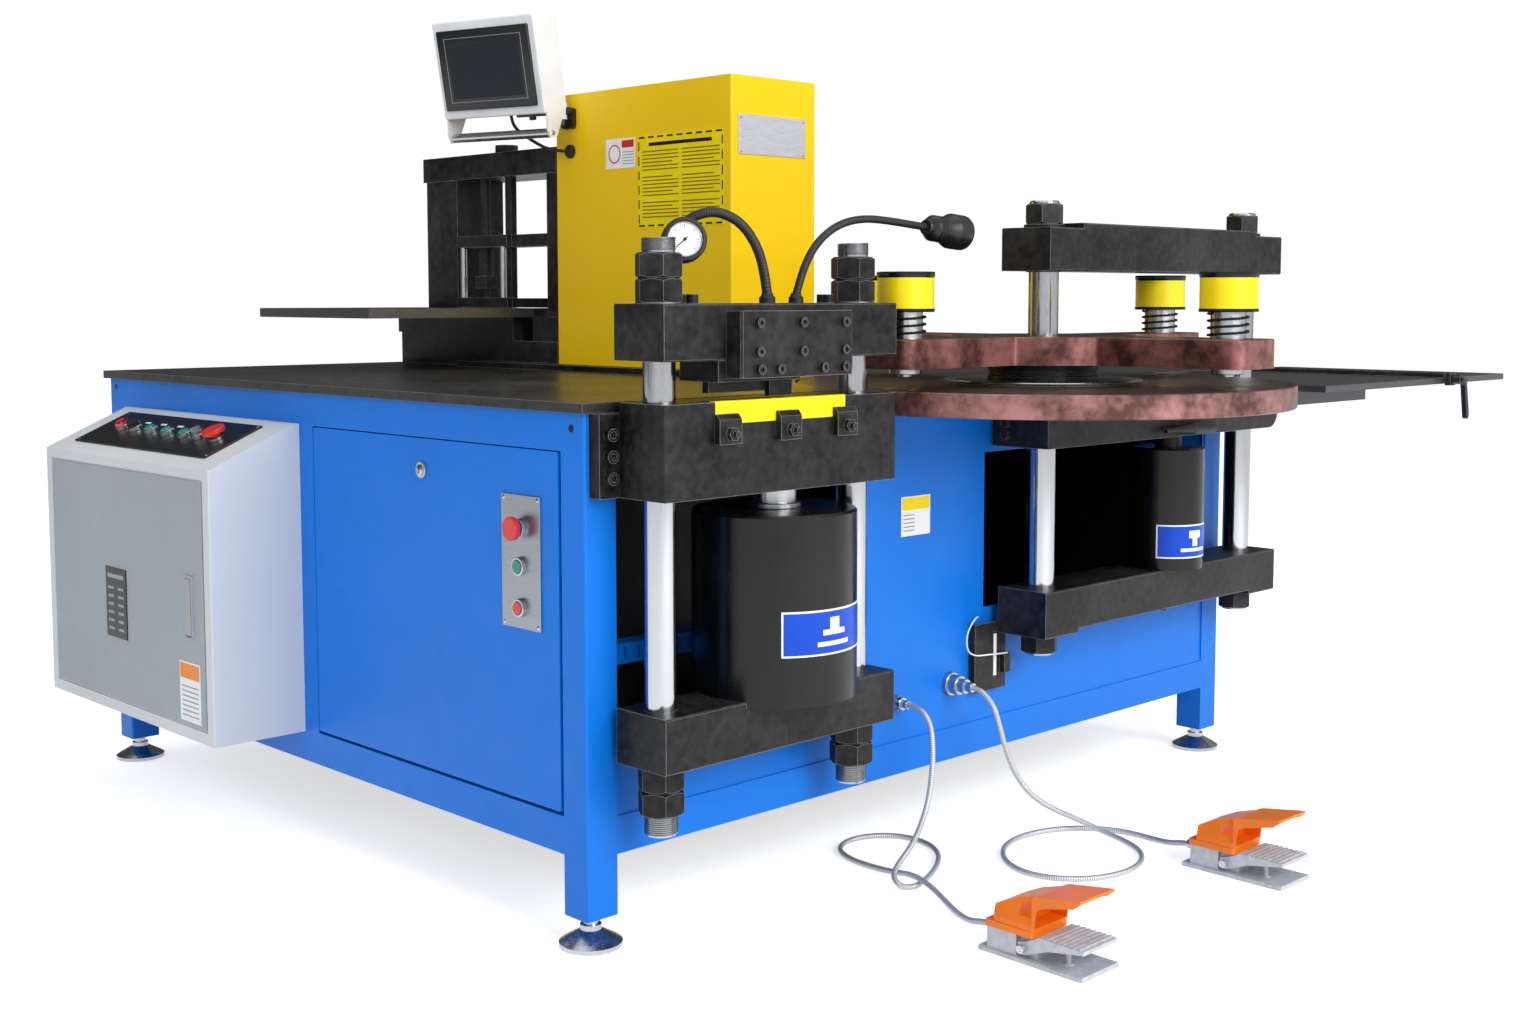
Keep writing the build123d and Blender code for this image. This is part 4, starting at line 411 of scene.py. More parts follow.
def build_materials():
    m = MATERIALS
    # The second colour is painted shade for the unlit inside of the frame.
    m["blue_sheet"] = sheet_coat("blue_sheet_coat", srgb(0, 118, 224), srgb(14, 16, 20))
    for key, name, colour, *values in (
            ("blue", "blue_powder_coat", (0, 118, 224)),
            ("yellow", "yellow_powder_coat", (255, 208, 0), 0.36),
            ("yellow_strip", "yellow_strip_paint", (250, 230, 20), 0.4),
            ("grey", "cabinet_grey", (214, 219, 222), 0.45, 0.2),
            ("door_grey", "cabinet_door_grey", (162, 171, 179), 0.5, 0.25)):
        m[key] = powder_coat(name, srgb(*colour), *values)
    m["black"] = blued_steel("black_oxide_steel", srgb(14, 14, 14), srgb(54, 54, 53), 0.42, 0.1,
                             wear_and_highlight=0.9)
    m["black_gloss"] = blued_steel("cylinder_black", srgb(8, 9, 10), srgb(20, 21, 22), 0.24, 0.1,
                                   (1.0, 1.0, 0.25), shine=0.35)
    m["table"] = blued_steel("table_steel", srgb(40, 40, 41), srgb(70, 69, 68), 0.32, 0.4,
                             (0.3, 1.0, 1.0), 0.05, 5.0, shine=0.4, wear_and_highlight=0.8)
    m["spring_wire"] = blued_steel("spring_wire", srgb(18, 18, 18), srgb(42, 42, 42), 0.34, 0.4)
    # The last two colours of each are the top's, darkened as painted shade.
    m["star_steel"] = turret_steel("star_browned_steel", 0.9366, srgb(74, 42, 38),
                                   srgb(158, 104, 100), srgb(58, 44, 38), srgb(92, 72, 66))
    m["disc_steel"] = turret_steel("disc_browned_steel", 0.8496, srgb(84, 52, 48),
                                   srgb(172, 122, 118), srgb(40, 33, 28), srgb(74, 63, 56))
    for key, name, colour, *values in (
            ("chrome", "column_chrome", (182, 184, 187), 0.12, (8.0, 8.0, 0.4), 0.02, 1.0, 0.05),
            ("bright", "bright_steel", (150, 152, 154), 0.32, (6.0, 1.0, 6.0)),
            ("shelf_steel", "shelf_steel", (96, 97, 99), 0.36, (1.0, 7.0, 5.0), 0.05, 0.8),
            ("bright_round", "turned_steel", (190, 192, 194), 0.24, (2.0, 2.0, 9.0)),
            ("thread_steel", "thread_steel", (140, 142, 144), 0.34, (2.0, 2.0, 9.0)),
            ("stainless", "stainless_sheet", (160, 166, 172), 0.36, (4.0, 0.4, 8.0)),
            ("satin_plate", "satin_name_plate", (196, 198, 204), 0.42, (0.4, 4.0, 9.0), 0.03, 0.5),
            ("alloy", "cast_alloy", (196, 201, 207), 0.5, (1.0, 1.0, 1.0), 0.15, 0.3),
            ("brass", "die_ring_bronze", (168, 136, 88), 0.3, (1.0, 1.0, 4.0))):
        m[key] = ground_steel(name, srgb(*colour), *values)
    for key, name, colour, *values in (
            ("yellow_cap", "yellow_cap_plastic", (255, 226, 0), 0.3, 0.02),
            ("green_cap", "green_cap_plastic", (20, 132, 112), 0.3, 0.02, 0.3),
            ("red_cap", "red_cap_plastic", (216, 34, 34), 0.3, 0.02, 0.3),
            ("red_lens", "red_lens_plastic", (226, 40, 36), 0.12, 0.01, 0.6),
            ("orange", "orange_hood_plastic", (250, 126, 0), 0.34, 0.08),
            ("white", "white_housing", (236, 240, 244), 0.45, 0.06),
            ("black_plastic", "black_plastic", (18, 19, 21), 0.36, 0.08),
            ("rubber", "black_rubber", (26, 26, 26), 0.6, 0.2)):
        m[key] = moulded(name, srgb(*colour), *values)
    for name, colour, *values in (
            ("dial_white", (240, 240, 238), 0.2), ("lamp_glass", (222, 224, 222), 0.1),
            ("screen_glass", (16, 24, 36), 0.2), ("screen_edge", (20, 24, 30), 0.14),
            ("print_white", (244, 246, 248)), ("print_blue", (8, 74, 200)),
            ("print_black", (24, 24, 24)), ("print_grey", (150, 156, 162)),
            ("print_olive", (132, 118, 8)), ("print_red", (222, 50, 30)),
            ("print_orange", (244, 138, 10)), ("sheet_yellow", (252, 224, 0))):
        m[name] = glossy_print(name, srgb(*colour), *values)


NODES_OF_FINISH = {
    "blue": ("frame", "service_door"),
    "blue_sheet": ("panels",),
    "table": ("table_plate",),
    "black": ("cut_block", "block_clamps", "cut_upper_beam", "cut_lower_beam", "cut_fasteners",
              "cut_blade_holder", "punch_plate", "punch_upper_beam", "punch_lower_beam",
              "turret_hub", "bend_frame", "bend_ram", "stop_rail", "front_fittings",
              "hydraulic_unit"),
    "black_gloss": ("cut_cylinder", "punch_cylinder"),
    "chrome": ("cut_columns", "punch_columns"),
    "star_steel": ("turret_star",),
    "disc_steel": ("turret_disc",),
    "shelf_steel": ("bar_shelf", "support_table"),
    "bright_round": ("leveling_feet",),
    "bright": ("punch_springs", "cabinet_latch", "console_key", "foot_cord_1", "foot_cord_2"),
    "alloy": ("pedal_bodies", "pedal_treadle_1", "pedal_treadle_2"),
    "yellow": ("bend_housing",),
    "yellow_strip": ("die_strip",),
    "yellow_cap": ("punch_head_1", "punch_head_2", "punch_head_3", "punch_head_4"),
    "grey": ("cabinet",),
    "door_grey": ("cabinet_door",),
    "white": ("hmi_housing",),
    "black_plastic": ("hmi_bracket", "control_plates", "console_selector", "clamp_lever"),
    "rubber": ("gauge_and_lamp", "hmi_lead"),
    "orange": ("pedal_hoods",),
    "green_cap": ("console_button_1", "console_button_2", "console_button_3", "side_green"),
    "red_cap": ("console_stop", "side_stop", "side_red")}


def dress_nodes():
    """Give each CAD node its finish."""
    for finish, names in NODES_OF_FINISH.items():
        for name in names:
            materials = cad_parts[name].data.materials
            materials.clear()
            materials.append(MATERIALS[finish])


# Conduits and the lead of the operator panel, with 5.2 mm where a conduit lies on the floor
FOOT_CORD_1 = [(-183, -849, 277), (-183, -877, 277), (-184, -903, 252), (-188, -911, 203),
               (-194, -914, 158), (-205, -914, 112), (-226, -914, 72), (-258, -918, 44),
               (-295, -926, 30), (-330, -942, 18), (-338, -968, 7), (-311, -981, 5.2),
               (-262, -965, 5.2), (-204, -936, 5.2), (-150, -897, 5.2), (-115, -844, 5.2),
               (-112, -784, 5.2), (-146, -738, 5.2), (-203, -722, 5.2), (-256, -744, 5.2),
               (-283, -794, 5.2), (-288, -851, 5.2), (-289, -905, 8), (-294, -960, 17),
               (-310, -1012, 13), (-333, -1062, 6), (-362, -1112, 5.2), (-391, -1162, 12),
               (-404, -1204, 26), (-404, -1232, 26)]
FOOT_CORD_2 = [(-30, -874, 288), (-30, -893, 288), (-23, -916, 262), (-6, -917, 222),
               (10, -917, 180), (28, -921, 138), (52, -927, 99), (84, -937, 67), (120, -955, 43),
               (147, -988, 26), (160, -1035, 11), (155, -1092, 5.2), (122, -1146, 5.2),
               (66, -1181, 5.2), (2, -1188, 5.2), (-60, -1170, 5.2), (-107, -1126, 5.2),
               (-122, -1066, 5.2), (-98, -1005, 5.2), (-48, -958, 5.2), (15, -934, 5.2),
               (80, -936, 5.2), (140, -960, 5.2), (185, -1004, 5.2), (207, -1060, 5.2),
               (204, -1116, 5.2), (184, -1164, 13), (171, -1204, 26), (171, -1232, 26)]
CONDUIT_DIAMETER = 0.010
LEAD_DIAMETER = 0.007


def route_curve(name, points, diameter, material):
    """A smooth round cable along a route of control points given in millimetres."""
    curve = bpy.data.curves.new(name, "CURVE")
    curve.dimensions = "3D"
    spline = curve.splines.new("NURBS")
    spline.points.add(len(points) - 1)
    for point, place in zip(spline.points, points):
        point.co = (place[0] * MM, place[1] * MM, place[2] * MM, 1.0)
    spline.order_u = 3
    spline.use_endpoint_u = True
    spline.resolution_u = 8
    curve.bevel_depth = diameter / 2
    curve.bevel_resolution = 5
    curve.use_fill_caps = True
    curve.materials.append(material)
    return new_object(name, curve)


PANEL_LEAD = [(-250.3, 236.8, 1401.8), (-246.9, 237.7, 1384.2), (-239, 229, 1368),
              (-227, 212, 1353), (-217, 188, 1338), (-212, 160, 1326), (-204, 124, 1320),
              (-182, 124, 1320)]


def build_cords():
    for number, route, length in ((1, FOOT_CORD_1, 1.41), (2, FOOT_CORD_2, 1.48)):
        sheath = ribbed("conduit_braid_%d" % number, srgb(206, 207, 209), 420, 0.5, 0.34)
        cord = route_curve("conduit_%d" % number, route, CONDUIT_DIAMETER, sheath)
        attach(cord, "base")
        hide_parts("foot_cord_%d" % number)
    lead = route_curve("panel_lead", PANEL_LEAD, LEAD_DIAMETER, MATERIALS["rubber"])
    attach(lead, "base")
    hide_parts("hmi_lead")


# Places of the machine that the pieces below share, in millimetres
PRESS_Y = -890.0
CUT_COLUMNS = (-807.0, -379.0)
CUT_CYLINDER = (-563.0, -890.0)
CUT_CYLINDER_TOP = 672.0
SHELF_TOP = 984.0
TURRET = (148.0, -890.0)
STATION_RADIUS = 393.0
PUNCH_COLUMNS = (148.0, 852.0)
PUNCH_CYLINDER = (541.0, -915.0)
STAR_TOP = 937.0
HEAD_LOW = 983.0
HEAD_TOP = 1052.0
UP = (0.0, 0.0, 1.0)
LEFT = (-1.0, 0.0, 0.0)
FRONT = (0.0, -1.0, 0.0)


# Shaping
def everything(bm):
    return list(bm.verts) + list(bm.edges) + list(bm.faces)


def profile_points(bm, profile):
    """The vertices of a profile of (radius, height) pairs in millimetres."""
    return [bm.verts.new((r * MM, 0.0, z * MM)) for r, z in profile]


def sweep(bm, angle, steps, rise=0.0, closed=False):
    """Sweep a section about +Z, with a rise in millimetres from start to end."""
    bmesh.ops.spin(bm, geom=everything(bm), cent=(0, 0, 0), axis=UP,
                   dvec=(0, 0, rise * MM / steps), angle=angle, steps=steps, use_merge=closed)


def turn_profile(bm, profile, steps):
    points = profile_points(bm, profile)
    for pair in zip(points[:-1], points[1:]):
        bm.edges.new(pair)
    sweep(bm, math.tau, steps, closed=True)
    bmesh.ops.remove_doubles(bm, verts=bm.verts, dist=1e-6)


def rotated(bm, degrees, axis="Z"):
    bmesh.ops.rotate(bm, verts=bm.verts, cent=(0, 0, 0),
                     matrix=Matrix.Rotation(math.radians(degrees), 3, axis))
    return bm


def laid(bm, origin, right, up, out):
    """Move a mesh from a frame of its own, an origin and three directions, to the machine's."""
    turn = Matrix((right, up, out)).transposed().to_4x4()
    bmesh.ops.transform(bm, matrix=Matrix.Translation(Vector(origin) * MM) @ turn, verts=bm.verts)
    return bm


def place_mesh(bm, at, towards=UP):
    """Stand a mesh made about +Z at a place in millimetres, pointing another way."""
    turn = Vector(UP).rotation_difference(Vector(towards).normalized()).to_matrix()
    bmesh.ops.transform(bm, matrix=Matrix.Translation(Vector(at) * MM) @ turn.to_4x4(),
                        verts=bm.verts)


def turned(profile, at=(0.0, 0.0, 0.0), towards=UP, steps=48):
    bm = bmesh.new()
    turn_profile(bm, profile, steps)
    place_mesh(bm, at, towards)
    return bm


def upright(profile, centre, steps=48):
    """A profile of true heights, turned about an upright axis."""
    return turned(profile, (centre[0], centre[1], 0.0), UP, steps)


def joined(parts):
    """One bmesh from several."""
    whole = bmesh.new()
    for part in parts:
        mesh = bpy.data.meshes.new("join")
        part.to_mesh(mesh)
        part.free()
        whole.from_mesh(mesh)
        bpy.data.meshes.remove(mesh)
    return whole


def bar(low, high, edge=0.0, segments=2):
    """A block between two corners in millimetres, with rounded edges where asked."""
    bm = bmesh.new()
    bmesh.ops.create_cube(bm, size=1.0)
    size = [(b - a) * MM for a, b in zip(low, high)]
    middle = [(a + b) / 2 * MM for a, b in zip(low, high)]
    bmesh.ops.scale(bm, vec=size, verts=bm.verts)
    bmesh.ops.translate(bm, vec=middle, verts=bm.verts)
    if edge > 0:
        bmesh.ops.bevel(bm, geom=list(bm.edges), offset=edge * MM, affect="EDGES",
                        segments=segments, profile=0.5, material=-1)
    return bm


def ring(inner, outer, low, high, edge=0.6):
    """The profile of a flat ring with small broken edges."""
    return [(inner, low), (outer - edge, low), (outer, low + edge), (outer, high - edge),
            (outer - edge, high), (inner + edge, high), (inner, high - edge), (inner, low)]


def hexagon_nut(at, towards, flats, height, bore):
    """A nut: a turned body with coned ends, cut to six flats."""
    corner = flats / math.sqrt(3.0) + 0.02
    face = flats / 2 * 0.96
    drop = (corner - face) * math.tan(math.radians(30.0))
    profile = [(bore / 2, 1.2), (bore / 2 + 1.2, 0.0), (face, 0.0), (corner, drop),
               (corner, height - drop), (face, height), (bore / 2 + 1.2, height),
               (bore / 2, height - 1.2), (bore / 2, 1.2)]
    bm = bmesh.new()
    turn_profile(bm, profile, 48)
    for side in range(6):
        angle = math.radians(60.0 * side)
        normal = Vector((math.cos(angle), math.sin(angle), 0.0))
        cut = bmesh.ops.bisect_plane(bm, geom=everything(bm), plane_no=normal,
                                     plane_co=normal * flats / 2 * MM, clear_outer=True)
        rim = [g for g in cut["geom_cut"] if isinstance(g, bmesh.types.BMEdge)]
        bmesh.ops.edgenet_fill(bm, edges=rim)
    place_mesh(bm, at, towards)
    return bm


def screw_head(at, towards, diameter, height, socket):
    """A cap screw head with its round socket."""
    deep = min(height * 0.55, 4.0)
    profile = [(0.0, height - deep), (socket / 2, height - deep), (socket / 2, height - 0.4),
               (socket / 2 + 0.4, height), (diameter / 2 - 0.8, height),
               (diameter / 2, height - 0.8), (diameter / 2, 0.0), (0.0, 0.0)]
    return turned(profile, at, towards, 24)


def thread(at, towards, root, crest, pitch, turns):
    """A helical thread: a tooth profile wound about the axis."""
    bm = bmesh.new()
    tooth = [(root, 0.0), (crest, pitch * 0.38), (crest, pitch * 0.55), (root, pitch * 0.95)]
    bm.faces.new(profile_points(bm, tooth))
    sweep(bm, math.tau * turns, int(turns * 36), pitch * turns)
    place_mesh(bm, at, towards)
    return bm


def coil_spring(at, radius, wire, length, turns):
    """A round wire wound about +Z."""
    bm = bmesh.new()
    bmesh.ops.create_circle(bm, cap_ends=True, segments=10, radius=wire / 2 * MM)
    rotated(bm, 90.0, "X")
    bmesh.ops.translate(bm, verts=bm.verts, vec=(radius * MM, 0.0, wire / 2 * MM))
    sweep(bm, math.tau * turns, int(turns * 30), length - wire)
    place_mesh(bm, at)
    return bm


def wrapped(centre, inner, outer, start, end, low, high, steps):
    """A plate bent round an upright cylinder between two angles in degrees."""
    bm = bmesh.new()
    corners = ((inner, low), (outer, low), (outer, high), (inner, high))
    bm.faces.new(profile_points(bm, corners))
    rotated(bm, start)
    sweep(bm, math.radians(end - start), steps)
    place_mesh(bm, (centre[0], centre[1], 0.0))
    return bm


def finished(name, bm, finish, body="base", replaced=(), smooth=True):
    """A finished piece that rides on its body and takes the finish named by its key."""
    piece = add_piece(name, bm, MATERIALS[finish], smooth)
    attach(piece, body)
    if replaced:
        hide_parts(*replaced)
    return piece


def flat(name, parts, finish, body="base"):
    """A finished piece of flat-faced parts."""
    return finished(name, joined(parts), finish, body, smooth=False)


def repeated(low, high, step, count):
    """A plain block and its copies, each one step further on."""
    return [bar([v + i * s for v, s in zip(low, step)], [v + i * s for v, s in zip(high, step)])
            for i in range(count)]


def stiff_cable(name, points, diameter, material, body):
    piece = route_curve(name, points, diameter, material)
    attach(piece, body)


# Turret: punch heads and their return springs
def build_heads():
    for number, angle in enumerate((0, 90, 180, 270), start=1):
        x = TURRET[0] + STATION_RADIUS * math.cos(math.radians(angle))
        y = TURRET[1] + STATION_RADIUS * math.sin(math.radians(angle))
        body = "head_%d" % number
        sleeve = upright(ring(38.0, 49.2, HEAD_LOW + 5.5, HEAD_TOP - 6.5, 0.5), (x, y), 64)
        finished("head_sleeve_%d" % number, sleeve, "yellow_cap", body,
                 replaced=("punch_head_%d" % number,))
        low_rim = upright(ring(37.0, 50.5, HEAD_LOW, HEAD_LOW + 5.8, 1.2), (x, y), 64)
        lid = upright([(0, 1041), (49.0, 1041), (50.5, 1045.6), (50.5, HEAD_TOP - 1.5),
                       (49.0, HEAD_TOP), (26, HEAD_TOP), (24.5, HEAD_TOP - 1.5),
                       (0, HEAD_TOP - 1.5)], (x, y), 64)
        finished("head_rims_%d" % number, joined([low_rim, lid]), "black_gloss", body)
        stem = upright([(0, 871), (11.4, 871), (12, 871.6), (12, 875.5), (26.8, 875.5),
                        (28, 876.7), (28, 885.7), (30, 885.7), (30, 1040), (0, 1040)], (x, y), 56)
        bolt = screw_head((x, y, HEAD_TOP - 2.0), UP, 16.0, 2.0, 8.0)
        finished("head_stem_%d" % number, joined([stem, bolt]), "bright_round", body)
        spring = coil_spring((x, y, STAR_TOP), 34.2, 4.2, HEAD_LOW - STAR_TOP, 3.4)
        piece = finished("return_spring_%d" % number, spring, "spring_wire", "turret",
                         replaced=("punch_springs",))
        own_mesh(piece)
        seat = upright(ring(14.0, 34.6, 848.0, 850.8), (x, y))
        finished("die_ring_%d" % number, seat, "brass", "turret")
    rim = upright(ring(104.0, 186.0, 853.0, 855.2, 1.0), TURRET, 96)
    finished("hub_cover_ring", rim, "bright_round", "turret")


# Punching press: columns with washers and nuts, and seal collars where they pass the plate
def build_punch_columns():
    columns = []
    black_parts = []
    for x in PUNCH_COLUMNS:
        columns.append(upright([(0, 330), (25.5, 330), (28, 332.5), (28, 1185.5), (25.5, 1188),
                                (0, 1188)], (x, PRESS_Y), 64))
        washer = upright(ring(28.4, 38.0, 1137.0, 1144.0), (x, PRESS_Y))
        nuts = [hexagon_nut((x, PRESS_Y, z), UP, 65.0, 38.0, 56.4) for z in (1144.0, 334.0)]
        seal = upright(ring(28.4, 33.0, 1055.2, 1057.2), (x, PRESS_Y))
        black_parts += [washer, *nuts, seal]
    finished("press_columns", joined(columns), "chrome", "punch_yoke", replaced=("punch_columns",))
    flat("press_column_nuts", black_parts, "black", "punch_yoke")


# Cutting press: threads of the column ends
def build_cut_threads():
    parts = []
    for x in CUT_COLUMNS:
        parts.append(thread((x, PRESS_Y, 1076.5), UP, 24.8, 26.2, 3.2, 6.0))
        parts.append(thread((x, PRESS_Y, 186.5), UP, 24.8, 26.2, 3.2, 9.5))
        parts.append(upright(ring(24.0, 36.0, 998.8, 1001.2, 0.4), (x, PRESS_Y)))
    flat("column_threads", parts, "thread_steel", "cut_yoke")


# Station plates: blue field with a white border and a plain figure of a tool over a bar
BAR_FIGURE = (-34, 34, 0.20, 0.30)
BLADE_FIGURE = ((-24, 24, 0.44, 0.56), (-10, 10, 0.56, 0.82))
PUNCH_FIGURE = ((-7, 7, 0.36, 0.60), (-16, 16, 0.60, 0.82))
PLATE_BORDER = 3.2


def build_station_plates():
    for name, centre, radius, start, end, low, high, tool in (
            ("cut", CUT_CYLINDER, 134.0, -130.0, -50.0, 451.0, 523.0, BLADE_FIGURE),
            ("punch", PUNCH_CYLINDER, 73.5, -163.0, -33.0, 484.5, 552.4, PUNCH_FIGURE)):
        body = "%s_yoke" % name
        edge = math.degrees(PLATE_BORDER / radius)
        plate = wrapped(centre, radius + 0.1, radius + 0.8, start, end, low, high, 32)
        finished("%s_plate_border" % name, plate, "print_white", body)
        field = wrapped(centre, radius + 0.7, radius + 1.1, start + edge, end - edge,
                        low + PLATE_BORDER, high - PLATE_BORDER, 32)
        finished("%s_plate_field" % name, field, "print_blue", body)
        middle = (start + end) / 2
        unit = math.degrees(1.0 / radius)
        tall = high - low
        marks = [wrapped(centre, radius + 1.0, radius + 1.3, middle + a * unit,
                         middle + b * unit, low + c * tall, low + d * tall, 8)
                 for a, b, c, d in (BAR_FIGURE, *tool)]
        finished("%s_plate_figure" % name, joined(marks), "print_white", body)


# Flat plates and printed sheets on the covers
def build_flat_plates():
    """The bending cover's side is at x = -175, the front panel at y = -817, the door at -1080."""
    # Bare name plate with its four rivets
    flat("front_name_plate", [bar((-157.0, -380.0, 1288.0), (29.0, -378.0, 1366.0), 0.7)],
         "satin_plate")
    rivets = [turned([(0, 1.6), (1.8, 1.2), (2.8, 0.0), (0, 0.0)], (x, -380.0, z), FRONT, 16)
              for x in (-151.0, 23.0) for z in (1294.0, 1360.0)]
    finished("name_plate_rivets", joined(rivets), "bright_round")

    # Yellow sheet on the cover: border dashes and grey-olive rows
    flat("operating_sheet", [bar((-175.5, -356.0, 1151.0), (-174.9, -97.0, 1338.0))],
         "sheet_yellow")
    dashes = [bar((-175.8, -322.0, 1316.0), (-175.4, -132.0, 1323.0))]
    for z in (1332.5, 1153.0):
        dashes += repeated((-175.8, -352.0, z), (-175.4, -334.0, z + 3.5), (0, 29.2, 0), 9)
    for y in (-354.0, -102.0):
        dashes += repeated((-175.8, y, 1160.0), (-175.4, y + 3.0, 1178.0), (0, 0, 29.5), 6)
    flat("operating_sheet_border", dashes, "print_black")
    rows = []
    for column in (-345.0, -223.0):
        for i in range(19):
            if i in (6, 13):
                continue
            z = 1304.0 - i * 7.4
            short = 18.0 if i % 4 == 3 else 0.0
            rows.append(bar((-175.7, column + short, z), (-175.4, column + 112.0, z + 2.4)))
    flat("operating_sheet_rows", rows, "print_olive")

    # Small white sheet beside it
    flat("safety_sheet", [bar((-175.6, -88.0, 1276.0), (-174.9, 6.0, 1337.0), 0.2)], "print_white")
    flat("safety_sheet_field", [bar((-175.9, -84.0, 1318.0), (-175.5, -46.0, 1333.0))],
         "print_red")
    circle = turned(ring(16.5, 19.5, 0.0, 0.4, 0.1), (-175.5, -22.0, 1306.0), LEFT, 40)
    finished("safety_sheet_ring", circle, "print_red")
    flat("safety_sheet_lines",
         repeated((-175.8, -84.0, 1284.0), (-175.5, -48.0, 1285.6), (0, 0, 6.0), 5), "print_grey")

    # Sticker on the front panel
    flat("front_sheet", [bar((-170.0, -817.6, 577.0), (-90.0, -816.9, 649.0), 0.2)], "print_white")
    flat("front_sheet_band", [bar((-167.5, -817.9, 624.0), (-92.5, -817.5, 646.5))],
         "sheet_yellow")
    flat("front_sheet_lines",
         repeated((-164.0, -817.8, 586.0), (-134.0, -817.5, 588.0), (0, 0, 7.0), 5), "print_grey")

    # Sticker and label plate on the cabinet door
    door = "cabinet_door"
    flat("cabinet_sheet", [bar((-1080.6, 66.0, 232.0), (-1079.9, 146.0, 343.0), 0.2)],
         "print_white", door)
    flat("cabinet_sheet_band", [bar((-1080.9, 69.0, 312.0), (-1080.5, 143.0, 340.0))],
         "print_orange", door)
    flat("cabinet_sheet_lines",
         repeated((-1080.8, 74.0, 242.0), (-1080.5, 138.0, 244.6), (0, 0, 9.0), 7),
         "print_grey", door)
    flat("label_plate", [bar((-1082.0, 360.6, 347.6), (-1079.9, 449.4, 484.4), 0.5)],
         "print_black", door)
    fields = [bar((-1082.3, 370.0, 464.0), (-1081.9, 440.0, 472.0))]
    for y in (372.0, 414.0):
        fields += repeated((-1082.3, y, 362.0), (-1081.9, y + 24.0, 367.0), (0, 0, 16.0), 6)
    flat("label_plate_fields", fields, "print_grey", door)


# Operator panel
PANEL_CENTRE = (-315.0, 230.0, 1494.0)
PANEL_YAW = math.radians(14.8)
PANEL_LEAN = math.radians(-11.3)


def on_panel(bm):
    """From the panel's own frame (right, up, out of the face) to the machine's."""
    out = Vector((-math.cos(PANEL_YAW) * math.cos(PANEL_LEAN),
                  -math.sin(PANEL_YAW) * math.cos(PANEL_LEAN), math.sin(PANEL_LEAN)))
    right = Vector((math.sin(PANEL_YAW), -math.cos(PANEL_YAW), 0.0))
    return laid(bm, PANEL_CENTRE, right, out.cross(right), out)


def build_operator_panel():
    body = "operator_panel"
    bezel = bar((-123.6, -84.6, 0.1), (123.6, 84.6, 7.6), 2.4, 3)
    finished("panel_bezel", on_panel(bezel), "black_plastic", body)
    # Thin line round the screen: half width, half height and width of the line
    w, h, line = 104.0, 68.0, 1.3
    sides = [bar((-w, h - line, 7.4), (w, h, 8.0), 0.2),
             bar((-w, -h, 7.4), (w, -h + line, 8.0), 0.2),
             bar((-w, -h + line, 7.4), (-w + line, h - line, 8.0), 0.2),
             bar((w - line, -h + line, 7.4), (w, h - line, 8.0), 0.2)]
    flat("panel_line", [on_panel(joined(sides))], "print_grey", body)
    glass = bar((-96.0, -60.0, 7.4), (96.0, 60.0, 8.1), 0.3)
    flat("panel_screen_border", [on_panel(glass)], "screen_edge", body)
    screen = bar((-84.0, -50.0, 8.0), (84.0, 50.0, 8.5), 0.2)
    flat("panel_screen", [on_panel(screen)], "screen_glass", body)
    grab = turned([(0, 0), (9.4, 0), (9.8, 0.4), (9.8, 266.6), (9.4, 267.0), (0, 267.0)],
                  (0.0, 0.0, 0.0), (1.0, 0.0, 0.0), 40)
    bmesh.ops.translate(grab, verts=grab.verts, vec=(-133.5 * MM, -145.0 * MM, -18.0 * MM))
    finished("grab_bar_sleeve", on_panel(grab), "bright_round", body)
    heads = [turned([(0, 2.2), (3.0, 2.2), (5.5, 0.8), (5.5, 0.0), (0, 0.0)],
                    (side * 137.7, -145.0, -18.0), (side, 0.0, 0.0), 24) for side in (-1, 1)]
    finished("grab_bar_screws", on_panel(joined(heads)), "bright_round", body)
    under = [bar((38.5, -109.8, -73.5), (129.0, -102.8, -26.5), 1.5),
             turned([(0, 9.0), (5.5, 9.0), (7.5, 7.5), (7.5, 0.0), (0, 0.0)],
                    (64.0, -109.5, -50.0), FRONT, 24)]
    finished("panel_connector_plate", on_panel(joined(under)), "black_plastic", body)
    # Knob of the swivel bracket and the lip of the cable grommet
    knobs = [turned([(0, 9.0), (6.0, 9.0), (9.0, 7.0), (9.0, 0.0), (0, 0.0)],
                    (-185.0, 116.0, 1404.0), LEFT, 28),
             turned([(4.2, 9.4), (9.0, 9.4), (14.4, 6.0), (14.4, 0.0), (4.2, 0.0), (4.2, 9.4)],
                    (-175.0, 124.0, 1320.0), LEFT, 40)]
    finished("bracket_knobs", joined(knobs), "rubber")


# Pressure gauge on its hose, and the work lamp on its arm
GAUGE_CENTRE = Vector((-711.6, -840.0, 1096.4))
GAUGE_FACING = Vector((-0.55, -0.82, 0.12)).normalized()
HOSE_ROUTE = [(-579, -890, 1011), (-580, -886, 1045), (-589, -878, 1089), (-611, -864, 1127),
              (-645, -844, 1145), (-673, -820, 1137), (-685, -802, 1117),
              (-691.2, -809.6, 1092.0), (-702.3, -826.1, 1094.4)]
ARM_ROUTE = [(-514, -890, 1011), (-503, -890, 1042), (-480, -890, 1082), (-446, -890, 1112),
             (-402, -890, 1132), (-350, -890, 1140), (-296, -890, 1138.2), (-244, -890, 1134),
             (-194.5, -890, 1130)]
LAMP_ALONG = Vector((172.0, 0.0, -14.0)).normalized()


